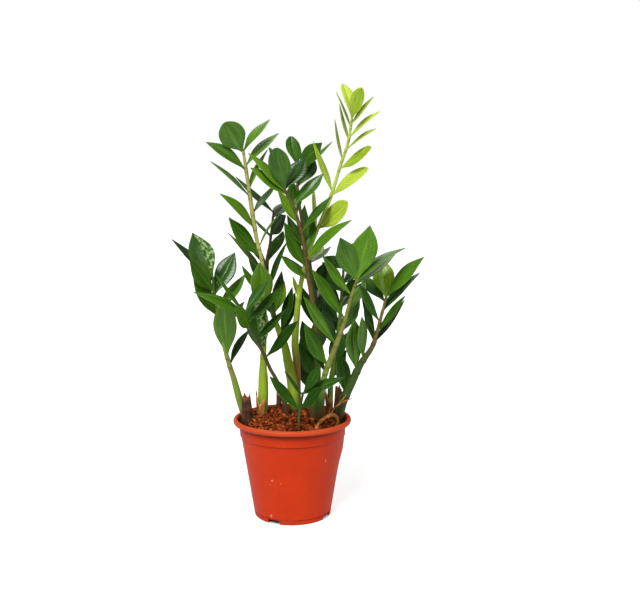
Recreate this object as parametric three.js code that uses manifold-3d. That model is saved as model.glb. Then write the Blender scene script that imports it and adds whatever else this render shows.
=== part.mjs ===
// A ZZ plant (Zamioculcas zamiifolia) in a plain plastic nursery pot.
// Millimetres, +Z up. The origin is the middle of the flat foot, and the front of the plant is -Y.
// Each frond is one grown piece: a fleshy stalk with its leaflets sunk into it.
import * as THREE from 'three';
import { mergeVertices } from 'three/addons/utils/BufferGeometryUtils.js';
import Module from 'manifold-3d';

const wasm = await Module();
wasm.setup();

// ---- Driving dimensions ----
const GAP = 0.3; // clearance between pieces that touch

const POT_SIDES = 32;
const POT_HEIGHT = 142;
const RIM_RADIUS = 85; // outside of the rolled bead
const RIM_INSIDE = 79;
const BEAD_DEPTH = 7.5;
const COLLAR_TOP_RADIUS = 77.4;
const COLLAR_FOOT_RADIUS = 75.6;
const COLLAR_FOOT_HEIGHT = 117;
const WALL_TOP_RADIUS = 74.2; // just under the collar
const WALL_FOOT_RADIUS = 56.4; // just over the foot ring
const FOOT_RADIUS = 55;
const WALL = 1.6;
const FLOOR = 2; // thickness of the foot
const PAD_RADIUS = 30; // flat middle of the foot, which the pot stands on
const CHANNEL_RISE = 7; // underside of the drain channel between the pad and the foot ring
const CHANNEL_FLANK = 2; // how far its sides lean
const NOTCH_COUNT = 4;
const NOTCH_WIDTH = 18;
const NOTCH_HEIGHT = 6;
const FIRST_NOTCH = -117; // degrees from +X, so the first one is at the front left
const NOTCH_REACH = 12; // how far each one cuts in through the foot ring and out past it
const DRAIN_RADIUS = 4;
const DRAIN_SIDES = 12;
const DRAIN_CIRCLE = 42;
const POT_COLOR = 0xcc4424;

const SOIL_LEVEL = 135; // at the wall
const SOIL_RADIUS = 76; // at that level
const SOIL_RINGS = 6;
const HEAP_HEIGHT = 14; // how far the heap rises over that, a little left of the middle
const HEAP_X = -16;
const HEAP_Y = 8;
const HEAP_SPREAD = 44;
const GRAIN_HEIGHT = 1.5;
const SOIL_COLOR = 0x7a4526;

const STALK_SIDES = 6;
const BLADE = 1; // thickness of a leaflet
const BLADE_FOLD = 0.08; // how far the midrib lies under the margins, as a share of the width
const BLADE_BOW = 0.02; // how far the blade bows towards its upper side, as a share of its length
// Half-width of a leaflet along its length, as shares of its width and length.
const BLADE_OUTLINE = [[0, 0.06], [0.32, 0.41], [0.58, 0.5], [0.84, 0.27], [1, 0.02]];

// ---- Fronds ----
// stalk: [x, y, z, radius] from the buried end up.
// leaves: [height of the node, tip across (x), tip back (y), tip up (z), width, turn, bow], where
// turn is how far the upper side is turned from the front (-Y) up towards the stalk, in degrees,
// and bow, as a share of the length, is only given where it isn't BLADE_BOW.
const FRONDS = {
  frond_young: {
    color: 0x9cc23c,
    stalk: [[5, 30, 112, 4.5], [6, 30, 145, 6], [6, 29, 172, 6], [5.5, 27, 219, 5.8],
      [3.5, 21, 245, 5.6], [6, 15, 282, 4.8], [10, 13, 318, 4], [16, 14, 351, 3.4], [24, 14, 380, 3.2],
      [39, 12, 418, 2.8], [56, 8, 460, 2.5], [69, 2, 502, 2.2], [79, -4, 532, 2], [84, -10, 564, 1.6]],
    leaves: [[562, -11, 20, 52, 27, 45, 0.1], [563, 13, -22, 39, 25, 45, 0.06],
      [552, -20, 26, 53, 25, 78, 0.02], [557, 29, -26, 33, 21, 69, 0.02], [535, -12, 30, 54, 26, 78, 0],
      [538, 41, -28, 33, 25, 73, 0.06], [508, -10, 34, 62, 28, 80, 0], [522, 40, -34, 26, 25, 78, 0.05],
      [496, 42, -40, 27, 26, 56, 0], [464, -27, 28, 74, 30, 69, 0], [458, 51, -38, 37, 29, 54, 0.06],
      [412, 42, -40, 37, 31, 32, 0], [406, -4, 38, 70, 24, 80, 0], [366, 24, 44, 22, 26, 40],
      [312, -9, 24, 32, 16, 68]],
  },
  frond_tall_left: {
    color: 0x4b7f2e,
    stalk: [[-43, 2, 112, 6], [-43, 2, 144, 7.5], [-42, 2, 181, 7.6], [-42, 2, 201, 6.9],
      [-42, 2, 220, 5], [-41, 2, 241, 4.2], [-39, 1, 283, 3.4], [-40, 0, 326, 3.2], [-42, -1, 366, 3],
      [-49, -2, 397, 3], [-55, -4, 436, 3], [-59, -6, 467, 2.8], [-63, -9, 497, 2.4],
      [-66, -12, 520, 1.8]],
    leaves: [[518, -24, -20, 38, 37, 5], [519, 35, 26, 47, 30, 58, 0.06],
      [493, -53, -22, 37, 29, 56, 0.09], [499, 45, 22, 48, 34, 64, 0.06],
      [457, -51, -30, 47, 28, 80, 0.04], [467, 25, 24, 58, 29, 70, 0.05],
      [434, 32, 38, 45, 29, 62, 0.01], [413, -45, -30, 48, 30, 70, 0.075],
      [372, -43, -28, 56, 32, 53, -0.01], [352, -52, 26, 55, 26, 79, 0.02],
      [386, 41, 24, 57, 26, 83, 0.08], [300, -6, -26, 67, 33, 20], [230, -11, -34, 88, 34, 20, 0],
      [318, -33, 16, 42, 24, 70, -0.03]],
  },
  frond_low_left: {
    color: 0x46782c,
    stalk: [[-61, -6, 114, 4.2], [-70, -8, 149, 5], [-77, -10, 176, 5.2], [-83, -12, 201, 4.3],
      [-89, -15, 222, 3.5], [-94, -18, 243, 3.1], [-99, -23, 272, 2.7], [-103, -27, 301, 2.4],
      [-107, -31, 329, 2.1], [-107, -34, 347, 1.7]],
    leaves: [[345, -27, -10, 63, 35, 5], [341, -61, 22, 58, 26, 70, 0.03], [322, 25, 30, 58, 30, 15],
      [326, -27, -34, 48, 28, 40, 0], [289, -32, -24, 64, 32, 56, 0], [298, 37, 28, 52, 30, 49, 0],
      [232, 0, -22, 88, 35, 12], [219, 27, 26, 50, 22, 58, 0.07], [272, 29, 40, 36, 24, 54]],
  },
  frond_front_left: {
    color: 0x3f7329,
    stalk: [[-8, -6, 114, 3.6], [-9, -5, 151, 4], [-14, -8, 176, 3.4], [-23, -14, 201, 2.9],
      [-30, -19, 215, 2.7], [-37, -27, 234, 2.5], [-46, -36, 256, 2.2], [-56, -46, 278, 1.9],
      [-63, -55, 301, 1.5]],
    leaves: [[299, -67, -16, 31, 30, 66, 0.04], [298, -38, -12, 56, 18, 84, 0],
      [300, 31, 12, 42, 24, 52, 0.02], [286, 45, 16, 47, 26, 62, 0], [260, 41, 8, 43, 28, 66, 0],
      [233, 47, -24, 56, 30, 63, 0], [277, -15, -52, 35, 27, 63, 0]],
  },
  frond_front_small: {
    color: 0x3c7a30,
    stalk: [[10, -54, 116, 1.8], [11, -60, 138, 2.1], [11, -61, 156, 1.9], [14, -62, 175, 1.7],
      [17, -64, 192, 1.4]],
    leaves: [[166, -41, -6, 49, 24, 63, 0], [188, -24, -20, 37, 18, 82, 0],
      [190, 57, -6, 24, 24, 66, 0.02], [189, 24, -8, 42, 20, 50, 0], [168, 30, -26, 36, 24, 56, 0]],
  },
  frond_back_left: {
    color: 0x3f7028,
    stalk: [[5, 10, 112, 6.4], [4, 10, 148, 8], [1, 11, 175, 8.3], [-1, 13, 193, 8], [-7, 18, 221, 7],
      [-12, 24, 243, 5.8], [-26, 33, 278, 4], [-36, 39, 322, 3.4], [-38, 44, 364, 2.8],
      [-34, 46, 388, 2.2], [-31, 48, 413, 1.9], [-28, 49, 438, 1.5]],
    leaves: [[436, -57, 12, 53, 28, 72, 0], [400, -26, 34, 26, 22, 80, 0],
      [402, 23, -26, 31, 28, 46, 0.02], [428, 20, 22, 24, 28, 48, 0.02], [362, 24, 30, 47, 30, 52],
      [355, -34, 30, 52, 26, 70, 0], [324, 30, -22, 72, 31, 68, 0.03], [322, -32, 34, 50, 29, 66, 0],
      [284, -37, 30, 50, 29, 60, 0], [286, 16, 4, 51, 29, 50, 0], [255, 20, 18, 64, 26, 50, 0],
      [290, 12, 34, 59, 24, 50, 0], [258, 18, 6, 70, 26, 56, 0]],
  },
  frond_centre: {
    color: 0x4a8030,
    stalk: [[30, -4, 112, 5], [31, -4, 153, 6.5], [34, -4, 175, 6.2], [37, -4, 211, 4.6],
      [36, -5, 248, 4.2], [34, -6, 280, 4], [29, -7, 313, 3.8], [24, -8, 344, 3.4], [19, -10, 381, 3],
      [13, -13, 411, 2.8], [3, -17, 442, 2.5], [-9, -22, 468, 1.8]],
    leaves: [[466, -12, -18, 56, 31, 5], [467, 29, 20, 44, 28, 22], [463, -51, -12, 53, 28, 65, 0.04],
      [459, -49, -24, 37, 28, 57, 0.02], [443, 42, 17, 47, 30, 54, 0.02],
      [419, -28, -28, 46, 26, 62, 0], [384, -25, 8, 48, 25, 62, 0], [357, -31, -24, 66, 34, 53, -0.04],
      [340, -41, 10, 37, 27, 64, -0.02], [408, 42, 6, 50, 27, 63, 0.02],
      [371, 63, -26, 55, 32, 66, 0.06], [430, -6, 20, 50, 24, 20, 0], [378, 11, 14, 48, 24, 40, 0]],
  },
  frond_back_centre: {
    color: 0x3a6a2c,
    stalk: [[34, 46, 112, 4.2], [35, 46, 150, 5.2], [35, 47, 186, 4.8], [36, 49, 239, 4.2],
      [34, 52, 299, 3.6], [25, 55, 358, 3], [14, 59, 418, 2.5], [7, 63, 469, 2], [6, 66, 506, 1.6]],
    leaves: [[504, -9, 34, 47, 27, 40, 0], [502, 37, -20, 35, 26, 20], [493, 53, 30, 50, 30, 72, 0],
      [484, -44, 26, 50, 26, 56, 0], [474, 26, 30, 40, 32, 42, 0], [392, -2, 36, 56, 27, 60, 0],
      [361, 32, 34, 24, 24, 66, 0], [332, -44, 36, 38, 24, 60, 0], [305, 16, 42, 29, 26, 58, 0],
      [182, -25, 14, 66, 30, 24], [318, 18, -14, 46, 26, 50, 0], [262, -26, 22, 66, 28, 44, 0],
      [272, 6, 44, 52, 26, 44, 0], [222, 6, -6, 66, 28, 28, 0], [215, -24, 6, 60, 28, 30, 0],
      [166, -27, 4, 46, 24, 30, 0]],
  },
  frond_front_right: {
    color: 0x4c8530,
    stalk: [[36, -26, 114, 4.4], [40, -24, 150, 5.6], [42, -25, 178, 5.4], [46, -28, 206, 4.2],
      [53, -32, 228, 4], [62, -37, 252, 3.7], [70, -42, 275, 3.1], [76, -47, 295, 2.6],
      [81, -52, 317, 2.2], [86, -56, 334, 1.9], [90, -60, 346, 1.5]],
    leaves: [[344, -23, -24, 59, 31, 20, -0.02], [345, 19, 2, 73, 36, 5],
      [342, 68, 14, 46, 30, 69, 0.09], [338, 58, 34, 40, 29, 66, 0.02],
      [324, -41, -16, 56, 30, 61, -0.03], [289, -46, -22, 71, 31, 60, 0.01],
      [253, -45, -16, 70, 25, 57, 0], [222, -32, -22, 62, 32, 50, -0.02], [212, -22, 4, 50, 24, 55, 0],
      [270, 28, 40, 43, 25, 57, 0], [303, 26, 38, 36, 23, 52, 0]],
  },
  frond_right: {
    color: 0x447a2c,
    stalk: [[58, -5, 113, 4.6], [68, -8, 147, 6.2], [74, -9, 169, 6.4], [84, -11, 192, 6.2],
      [98, -14, 222, 4.8], [114, -18, 248, 3.5], [121, -22, 272, 2.6], [127, -26, 298, 2.2],
      [132, -30, 319, 1.7]],
    leaves: [[317, -4, 30, 54, 32, 5], [319, 50, -10, 57, 32, 56, 0.05],
      [298, 54, 18, 54, 30, 75, 0.06], [270, 36, -24, 53, 24, 78, 0], [312, -31, 40, 34, 26, 34, 0.04],
      [283, -31, -26, 56, 29, 64, 0], [254, -13, 30, 54, 27, 66, 0], [228, -4, -28, 66, 27, 56, 0],
      [211, -6, -30, 79, 32, 40, -0.03], [252, 45, 12, 61, 28, 80, 0], [176, -7, 14, 58, 26, 30, 0],
      [262, -20, 10, 62, 20, 60, 0]],
  },
  frond_back_right: {
    color: 0x3a6828,
    stalk: [[55, 28, 113, 3.6], [55, 28, 150, 4.6], [56, 32, 182, 4.2], [61, 38, 215, 3.8],
      [67, 46, 255, 3.2], [71, 54, 294, 2.8], [74, 61, 333, 2.3], [76, 66, 362, 1.7]],
    leaves: [[361, 0, 38, 26, 26, 24], [359, 30, 30, 36, 26, 32], [352, -28, 20, 18, 22, 20],
      [333, -31, 36, 28, 24, 50, 0], [329, 37, 36, 32, 26, 45, 0], [298, -25, 10, 41, 20, 52, 0],
      [294, 33, 36, 35, 26, 54, 0], [257, -18, 34, 41, 25, 55, 0], [255, 31, 36, 39, 26, 54, 0],
      [221, 24, 36, 37, 24, 54, 0], [198, 14, 6, 70, 26, 20], [318, -26, -8, 30, 26, 40, 0],
      [272, -28, -16, 40, 28, 46, 0], [236, -22, -14, 58, 26, 40, 0], [190, 22, 4, 44, 22, 50, 0],
      [310, 24, -10, 28, 24, 50, 0]],
  },
};

// ---- Dry remains that stand in the soil ----
// Old stalk stumps: [x, y, z, radius] from the buried end up, with a torn top.
const STUMPS = {
  stump_left: { color: 0x4a3526, path: [[-60, -20, 118, 5], [-63, -22, 148, 7.6], [-64, -22, 180, 5.4]] },
  stump_centre: { color: 0x33281d, path: [[-19, 24, 118, 3.6], [-20, 23, 146, 4.4], [-21, 22, 171, 3]] },
  stump_right: { color: 0x4c2a1c, path: [[66, 7, 118, 4.4], [66, 7, 150, 6], [67, 6, 186, 4.6]] },
};
const STUMP_SIDES = 8;
const STUMP_TEAR = 5; // height of its teeth
const STUMP_PITH = 0.6; // how far in the soft middle starts, as a share of the radius

// Papery sheaths: a thin curved scale that stands round part of a stalk.
// [x, y, foot height, top height, radius, first angle, last angle]
const SHEATHS = {
  sheath_left: { color: 0xa8733a, scale: [-43, 2, 126, 182, 8.9, 130, 290] },
  sheath_right: { color: 0x9a5c34, scale: [55.3, 29, 126, 178, 6.4, 160, 290] },
};
const SHEATH_THICKNESS = 1;
const SHEATH_STEPS = 6;
const SHEATH_TEAR = 9;

// Bark chip that arches over a hollow, and a dry root that leans on the right stalk.
const BARK_PATH = [[33, -52, 126], [37, -50, 143], [47, -46, 152], [57, -41, 155], [64, -35, 149],
  [64, -31, 137], [62, -30, 126]];
const BARK_RADIUS = 2.6;
const ROOT_PATH = [[47, -41, 128], [50, -37, 142], [58, -28, 158], [68, -20.5, 166], [80, -18, 171],
  [86, -13, 172]];
const ROOT_RADIUS = 1.1;

// ---- Solids ----

// Closed skin through rings of points. Sides from `mirrored` on take the other diagonal,
// so that the two faces of a thin blade are split alike.
function loft(rings, mirrored = Infinity) {
  const sides = rings[0].length;
  const faces = [];
  for (let ring = 0; ring + 1 < rings.length; ring++) {
    for (let side = 0; side < sides; side++) {
      const a = ring * sides + side;
      const b = ring * sides + (side + 1) % sides;
      if (side < mirrored) faces.push(a, b, b + sides, a, b + sides, a + sides);
      else faces.push(a, b, a + sides, b, b + sides, a + sides);
    }
  }
  const last = (rings.length - 1) * sides;
  for (let near = 0, far = sides - 1; near + 1 < far; near++, far--) {
    faces.push(near, far, near + 1);
    faces.push(last + near, last + near + 1, last + far);
    if (near + 1 === far - 1) continue;
    faces.push(far, far - 1, near + 1);
    faces.push(last + far, last + near + 1, last + far - 1);
  }
  const positions = rings.flat().flatMap((point) => point.toArray());
  return new wasm.Manifold(new wasm.Mesh({
    numProp: 3,
    vertProperties: new Float32Array(positions),
    triVerts: new Uint32Array(faces),
  }));
}

// Solid of a closed three.js geometry.
function solidOf(geometry) {
  const bare = geometry.clone();
  bare.deleteAttribute('normal');
  bare.deleteAttribute('uv');
  const merged = mergeVertices(bare, 1e-4);
  const index = merged.index.array;
  const faces = [];
  for (let i = 0; i < index.length; i += 3) {
    const [a, b, c] = index.slice(i, i + 3);
    if (a !== b && b !== c && c !== a) faces.push(a, b, c);
  }
  return new wasm.Manifold(new wasm.Mesh({
    numProp: 3,
    vertProperties: new Float32Array(merged.attributes.position.array),
    triVerts: new Uint32Array(faces),
  }));
}

// Named mesh of a solid, in its own material.
function piece(name, solid, color, roughness) {
  const { vertProperties, triVerts } = solid.getMesh();
  const geometry = new THREE.BufferGeometry();
  geometry.setAttribute('position', new THREE.BufferAttribute(vertProperties, 3));
  geometry.setIndex(new THREE.BufferAttribute(triVerts, 1));
  const material = new THREE.MeshStandardMaterial({ color, roughness, metalness: 0 });
  const mesh = new THREE.Mesh(geometry, material);
  mesh.name = name;
  return mesh;
}

// Smooth line through the [x, y, z] points of a path.
function lineOf(path) {
  const points = path.map(([x, y, z]) => new THREE.Vector3(x, y, z));
  return new THREE.CatmullRomCurve3(points, false, 'centripetal');
}

// Round limb along a path of [x, y, z, radius]; `grow` widens and lengthens it, for a hole.
function limb(path, sides, grow = 0) {
  const line = lineOf(path);
  const steps = path.length - 1;
  const rings = [];
  for (let step = 0; step <= steps; step++) {
    const centre = line.getPoint(step / steps);
    const along = line.getTangent(step / steps);
    if (step === 0) centre.addScaledVector(along, -grow);
    if (step === steps) centre.addScaledVector(along, grow);
    const right = new THREE.Vector3(0, 1, 0).cross(along).normalize();
    const back = along.clone().cross(right);
    const radius = path[step][3] + grow;
    rings.push(ringOf(centre, right, back, radius, sides));
  }
  return loft(rings);
}

// Ring of points round a centre, in the plane of two unit vectors.
function ringOf(centre, right, back, radius, sides) {
  return Array.from({ length: sides }, (_, side) => {
    const angle = (side + 0.5) / sides * 2 * Math.PI;
    return centre.clone()
      .addScaledVector(right, radius * Math.cos(angle))
      .addScaledVector(back, radius * Math.sin(angle));
  });
}

// Leaflet from its root in the stalk to its tip: bowed along its length and folded at the midrib.
function leaflet(root, reach, width, turn, bow = BLADE_BOW) {
  const length = reach.length();
  const along = reach.clone().normalize();
  const front = new THREE.Vector3(0, -1, 0);
  const facing = front.addScaledVector(along, -front.dot(along)).normalize();
  const towardsStalk = reach.x < 0 ? 1 : -1;
  facing.applyAxisAngle(along, towardsStalk * THREE.MathUtils.degToRad(turn));
  const across = along.clone().cross(facing);
  const rings = BLADE_OUTLINE.map(([share, half]) => {
    const rise = bow * length * Math.sin(Math.PI * share);
    const rib = root.clone().addScaledVector(along, share * length).addScaledVector(facing, rise);
    const corner = (side, face) => {
      const lift = face * BLADE / 2 + Math.abs(side) * BLADE_FOLD * 2 * half * width;
      return rib.clone().addScaledVector(across, side * half * width).addScaledVector(facing, lift);
    };
    return [corner(-1, 1), corner(0, 1), corner(1, 1), corner(1, -1), corner(0, -1), corner(-1, -1)];
  });
  return loft(rings, 3);
}

// ---- Sub-parts ----

function frond(name, { color, stalk, leaves }) {
  const line = lineOf(stalk);
  const rootAt = (height) => {
    let [low, high] = [0, 1];
    while (high - low > 1e-5) {
      const middle = (low + high) / 2;
      if (line.getPoint(middle).z < height) low = middle;
      else high = middle;
    }
    return line.getPoint(low);
  };
  let solid = limb(stalk, STALK_SIDES);
  for (const [height, x, y, z, width, turn, bow] of leaves) {
    solid = solid.add(leaflet(rootAt(height), new THREE.Vector3(x, y, z), width, turn, bow));
  }
  return piece(name, solid, color, 0.4);
}

// Outside radius of the pot's wall between the foot ring and the collar.
function wallRadius(height) {
  const share = (height - CHANNEL_RISE) / (COLLAR_FOOT_HEIGHT - CHANNEL_RISE);
  return THREE.MathUtils.lerp(WALL_FOOT_RADIUS, WALL_TOP_RADIUS, share);
}

// Closed body turned round the Z axis from a list of [radius, height] that starts and ends on it.
function turned(profile) {
  const points = profile.map(([radius, height]) => new THREE.Vector2(radius, height));
  return new THREE.LatheGeometry(points, POT_SIDES).rotateX(Math.PI / 2);
}

function potWall() {
  const beadFoot = POT_HEIGHT - BEAD_DEPTH;
  const beadRound = 2;
  const shoulder = COLLAR_FOOT_HEIGHT - 3;
  const channelTop = CHANNEL_RISE + FLOOR;
  const underside = [
    [0, 0], [PAD_RADIUS, 0], [PAD_RADIUS + CHANNEL_FLANK, CHANNEL_RISE],
    [FOOT_RADIUS - WALL - CHANNEL_FLANK, CHANNEL_RISE], [FOOT_RADIUS - WALL, 0],
  ];
  const outside = [
    [FOOT_RADIUS, 0], [FOOT_RADIUS + 0.6, NOTCH_HEIGHT], [wallRadius(CHANNEL_RISE), CHANNEL_RISE],
    [WALL_TOP_RADIUS, COLLAR_FOOT_HEIGHT - 1], [COLLAR_FOOT_RADIUS, COLLAR_FOOT_HEIGHT],
    [COLLAR_TOP_RADIUS, beadFoot],
  ];
  const bead = [
    [RIM_RADIUS - beadRound, beadFoot], [RIM_RADIUS, beadFoot + beadRound],
    [RIM_RADIUS, POT_HEIGHT - beadRound], [RIM_RADIUS - beadRound, POT_HEIGHT],
    [RIM_INSIDE + beadRound, POT_HEIGHT], [RIM_INSIDE, POT_HEIGHT - beadRound],
  ];
  const inside = [
    [COLLAR_TOP_RADIUS - WALL, beadFoot - 3], [wallRadius(shoulder) - WALL, shoulder],
    [wallRadius(channelTop) - WALL, channelTop], [PAD_RADIUS + 1, channelTop],
    [PAD_RADIUS + 1 - CHANNEL_FLANK, FLOOR], [0, FLOOR],
  ];
  return solidOf(turned([...underside, ...outside, ...bead, ...inside]));
}

// The turned wall, with a notch through the foot ring beside each drain hole.
function pot() {
  let solid = potWall();
  for (let notch = 0; notch < NOTCH_COUNT; notch++) {
    const angle = THREE.MathUtils.degToRad(FIRST_NOTCH + notch * 360 / NOTCH_COUNT);
    const slot = new THREE.BoxGeometry(NOTCH_REACH, NOTCH_WIDTH, 2 * NOTCH_HEIGHT);
    slot.translate(FOOT_RADIUS, 0, 0).rotateZ(angle);
    const depth = 4 * FLOOR;
    const drain = new THREE.CylinderGeometry(DRAIN_RADIUS, DRAIN_RADIUS, depth, DRAIN_SIDES);
    drain.rotateX(Math.PI / 2).translate(DRAIN_CIRCLE, 0, CHANNEL_RISE + FLOOR / 2).rotateZ(angle);
    solid = solid.subtract(solidOf(slot)).subtract(solidOf(drain));
  }
  return piece('pot', solid, POT_COLOR, 0.45);
}

// Height of the soil: a heap with coarse grains standing out of it.
function ground(x, y) {
  const away = Math.hypot(x - HEAP_X, y - HEAP_Y) / HEAP_SPREAD;
  const heap = HEAP_HEIGHT * Math.exp(-away * away / 2);
  const across = Math.sin(x * 0.61 + 1.3 * Math.sin(y * 0.43));
  const back = Math.sin(y * 0.57 + 1.1 * Math.sin(x * 0.37));
  return SOIL_LEVEL + heap + GRAIN_HEIGHT * across * back;
}

// The root ball: it fills the pot, and every stalk stands in a plain hole.
function soil(holes) {
  const foot = CHANNEL_RISE + FLOOR + GAP;
  const shoulder = COLLAR_FOOT_HEIGHT - 4;
  const profile = [
    [0, FLOOR + GAP], [PAD_RADIUS - CHANNEL_FLANK, FLOOR + GAP], [PAD_RADIUS, foot],
    [wallRadius(foot) - WALL - GAP, foot], [wallRadius(shoulder) - WALL - GAP, shoulder],
  ];
  for (let ring = 0; ring <= SOIL_RINGS; ring++) {
    profile.push([SOIL_RADIUS * (1 - ring / SOIL_RINGS), SOIL_LEVEL]);
  }
  const body = turned(profile);
  const place = body.attributes.position;
  for (let i = 0; i < place.count; i++) {
    if (place.getZ(i) > SOIL_LEVEL - 1) place.setZ(i, ground(place.getX(i), place.getY(i)));
  }
  const solid = holes.reduce((rest, hole) => rest.subtract(hole), solidOf(body));
  return piece('soil', solid, SOIL_COLOR, 0.95);
}

// Stump of an old stalk, with a jagged edge round a sunken pith.
function stump(path, grow = 0) {
  const right = new THREE.Vector3(1, 0, 0);
  const back = new THREE.Vector3(0, 1, 0);
  const rings = path.map(([x, y, z, radius], step) => {
    const centre = new THREE.Vector3(x, y, step === 0 ? z - grow : z);
    return ringOf(centre, right, back, radius + grow, STUMP_SIDES);
  });
  const [x, y, z] = path.at(-1);
  const top = rings.at(-1);
  const middle = new THREE.Vector3(x, y, z);
  const pith = top.map((point) => point.clone().lerp(middle, STUMP_PITH).setZ(z - STUMP_TEAR));
  top.forEach((point, side) => { point.z += side % 2 ? STUMP_TEAR : -STUMP_TEAR / 2; });
  return loft([...rings, pith]);
}

// Papery scale round a part of a stalk, with a torn upper edge.
function sheath([x, y, foot, top, radius, first, last], grow = 0) {
  const edge = (inside, height, step) => {
    const angle = THREE.MathUtils.degToRad(THREE.MathUtils.lerp(first, last, step / SHEATH_STEPS));
    const distance = radius + (inside ? -grow : SHEATH_THICKNESS + grow);
    return new THREE.Vector3(x + distance * Math.cos(angle), y + distance * Math.sin(angle), height);
  };
  const steps = Array.from({ length: SHEATH_STEPS + 1 }, (_, step) => step);
  const ring = (heightAt) => [
    ...steps.map((step) => edge(false, heightAt(step), step)),
    ...steps.toReversed().map((step) => edge(true, heightAt(step), step)),
  ];
  const torn = (step) => {
    const fromMiddle = Math.abs(step / SHEATH_STEPS - 0.5);
    return top - SHEATH_TEAR * (fromMiddle + step % 2);
  };
  return loft([ring(() => foot - grow), ring(torn)], SHEATH_STEPS + 1);
}

// Path of one radius all along.
function evenPath(path, radius) {
  return path.map((point) => [...point, radius]);
}

// ---- Assembly ----
const plant = new THREE.Group();
plant.add(pot());
const holes = [];
for (const [name, growth] of Object.entries(FRONDS)) {
  plant.add(frond(name, growth));
  holes.push(limb(growth.stalk, STALK_SIDES, GAP));
}
for (const [name, { color, path }] of Object.entries(STUMPS)) {
  plant.add(piece(name, stump(path), color, 0.9));
  holes.push(stump(path, GAP));
}
for (const [name, { color, scale }] of Object.entries(SHEATHS)) {
  plant.add(piece(name, sheath(scale), color, 0.8));
  holes.push(sheath(scale, GAP));
}
const trims = [
  ['bark_chip', evenPath(BARK_PATH, BARK_RADIUS), 0xa86a34],
  ['dry_root', evenPath(ROOT_PATH, ROOT_RADIUS), 0xb98a58],
];
for (const [name, path, color] of trims) {
  plant.add(piece(name, limb(path, STALK_SIDES), color, 0.85));
  holes.push(limb(path, STALK_SIDES, GAP));
}
plant.add(soil(holes));

export default plant;
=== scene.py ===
# %% [markdown]
# # A ZZ plant in its nursery pot
#
# The plant has fleshy stalks that rise out of coarse soil, each with glossy leaflets up its length, and
# it stands in a thin orange-red nursery pot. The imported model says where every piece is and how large.
# Its solids are plain, so here each one gets a finer piece in the same place, and a finish of its own.

# %% Load the frame
import math
import random
from contextlib import contextmanager

import bmesh
import bpy
from mathutils import Matrix, Vector, noise


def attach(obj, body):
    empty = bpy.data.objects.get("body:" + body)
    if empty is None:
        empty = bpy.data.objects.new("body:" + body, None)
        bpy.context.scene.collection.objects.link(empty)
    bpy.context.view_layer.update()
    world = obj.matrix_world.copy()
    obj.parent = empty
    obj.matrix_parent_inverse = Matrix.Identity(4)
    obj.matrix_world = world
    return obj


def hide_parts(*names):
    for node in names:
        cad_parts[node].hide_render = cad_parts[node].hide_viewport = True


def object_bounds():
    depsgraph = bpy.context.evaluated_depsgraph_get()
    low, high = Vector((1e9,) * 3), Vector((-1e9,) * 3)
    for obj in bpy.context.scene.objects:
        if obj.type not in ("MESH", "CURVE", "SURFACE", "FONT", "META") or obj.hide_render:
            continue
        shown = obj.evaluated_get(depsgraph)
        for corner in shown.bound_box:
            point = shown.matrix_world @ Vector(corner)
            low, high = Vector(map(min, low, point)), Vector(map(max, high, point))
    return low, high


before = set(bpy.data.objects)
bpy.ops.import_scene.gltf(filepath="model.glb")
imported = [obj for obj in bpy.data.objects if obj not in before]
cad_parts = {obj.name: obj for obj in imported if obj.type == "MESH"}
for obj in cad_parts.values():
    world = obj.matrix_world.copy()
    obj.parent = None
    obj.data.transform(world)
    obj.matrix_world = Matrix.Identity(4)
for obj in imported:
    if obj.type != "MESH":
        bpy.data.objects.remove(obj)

solid_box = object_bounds()
MM = 0.001  # places and sizes below are in millimetres, and Blender works in metres
print("solids:", len(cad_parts), "- box in metres:", [tuple(corner) for corner in solid_box])

# %% [markdown]
# ## Camera
#
# The camera comes first. It stands a little over a metre in front of the plant, at about the height of
# the lower leaves, and looks slightly down, so the rim of the pot shows as a thin ellipse. A 45 mm lens
# on a 36 mm sensor is a normal view, without the stretched edges of a wide one.

# %% Camera
CAMERA_PLACE = Vector((40, -1134, 429)) * MM
CAMERA_TILT = math.radians(6.4)  # below the horizon
LENS = 45

bpy.ops.object.camera_add(location=CAMERA_PLACE, rotation=(math.pi / 2 - CAMERA_TILT, 0, 0))
camera = bpy.context.object
camera.data.lens = LENS
bpy.context.scene.camera = camera
print("camera at", tuple(camera.location))

# %% [markdown]
# ## Tools for modelling
#
# An operator works on whatever is selected, so each step first selects one piece and nothing else.
# These helpers do that, name what an operator has made, open and close edit mode, pick points by their
# place, and add a modifier and apply it at once.

# %% Select, edit and modify
def made(name):
    """The piece that an operator has just made, with a name."""
    piece = bpy.context.object
    piece.name = name
    return piece


def alone(piece):
    """Selects one piece and nothing else."""
    bpy.ops.object.select_all(action="DESELECT")
    piece.select_set(True)
    bpy.context.view_layer.objects.active = piece


@contextmanager
def editing(piece, action="DESELECT"):
    """Edit mode, with nothing selected, or everything if the action is SELECT."""
    alone(piece)
    bpy.ops.object.mode_set(mode="EDIT")
    bpy.ops.mesh.select_mode(type="VERT")
    bpy.ops.mesh.select_all(action=action)
    yield
    bpy.ops.object.mode_set(mode="OBJECT")


def choose(piece, wanted):
    """Selects the points whose place is wanted, and the edges and faces between them."""
    shape = bmesh.from_edit_mesh(piece.data)
    for point in shape.verts:
        point.select_set(False)
    for point in shape.verts:
        point.select_set(bool(wanted(point.co)))
    shape.select_flush_mode()
    bmesh.update_edit_mesh(piece.data)


def modify(piece, kind, **settings):
    """Adds a modifier and applies it."""
    alone(piece)
    modifier = piece.modifiers.new(kind.lower(), kind)
    for name, value in settings.items():
        setattr(modifier, name, value)
    bpy.ops.object.modifier_apply(modifier=modifier.name)


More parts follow.
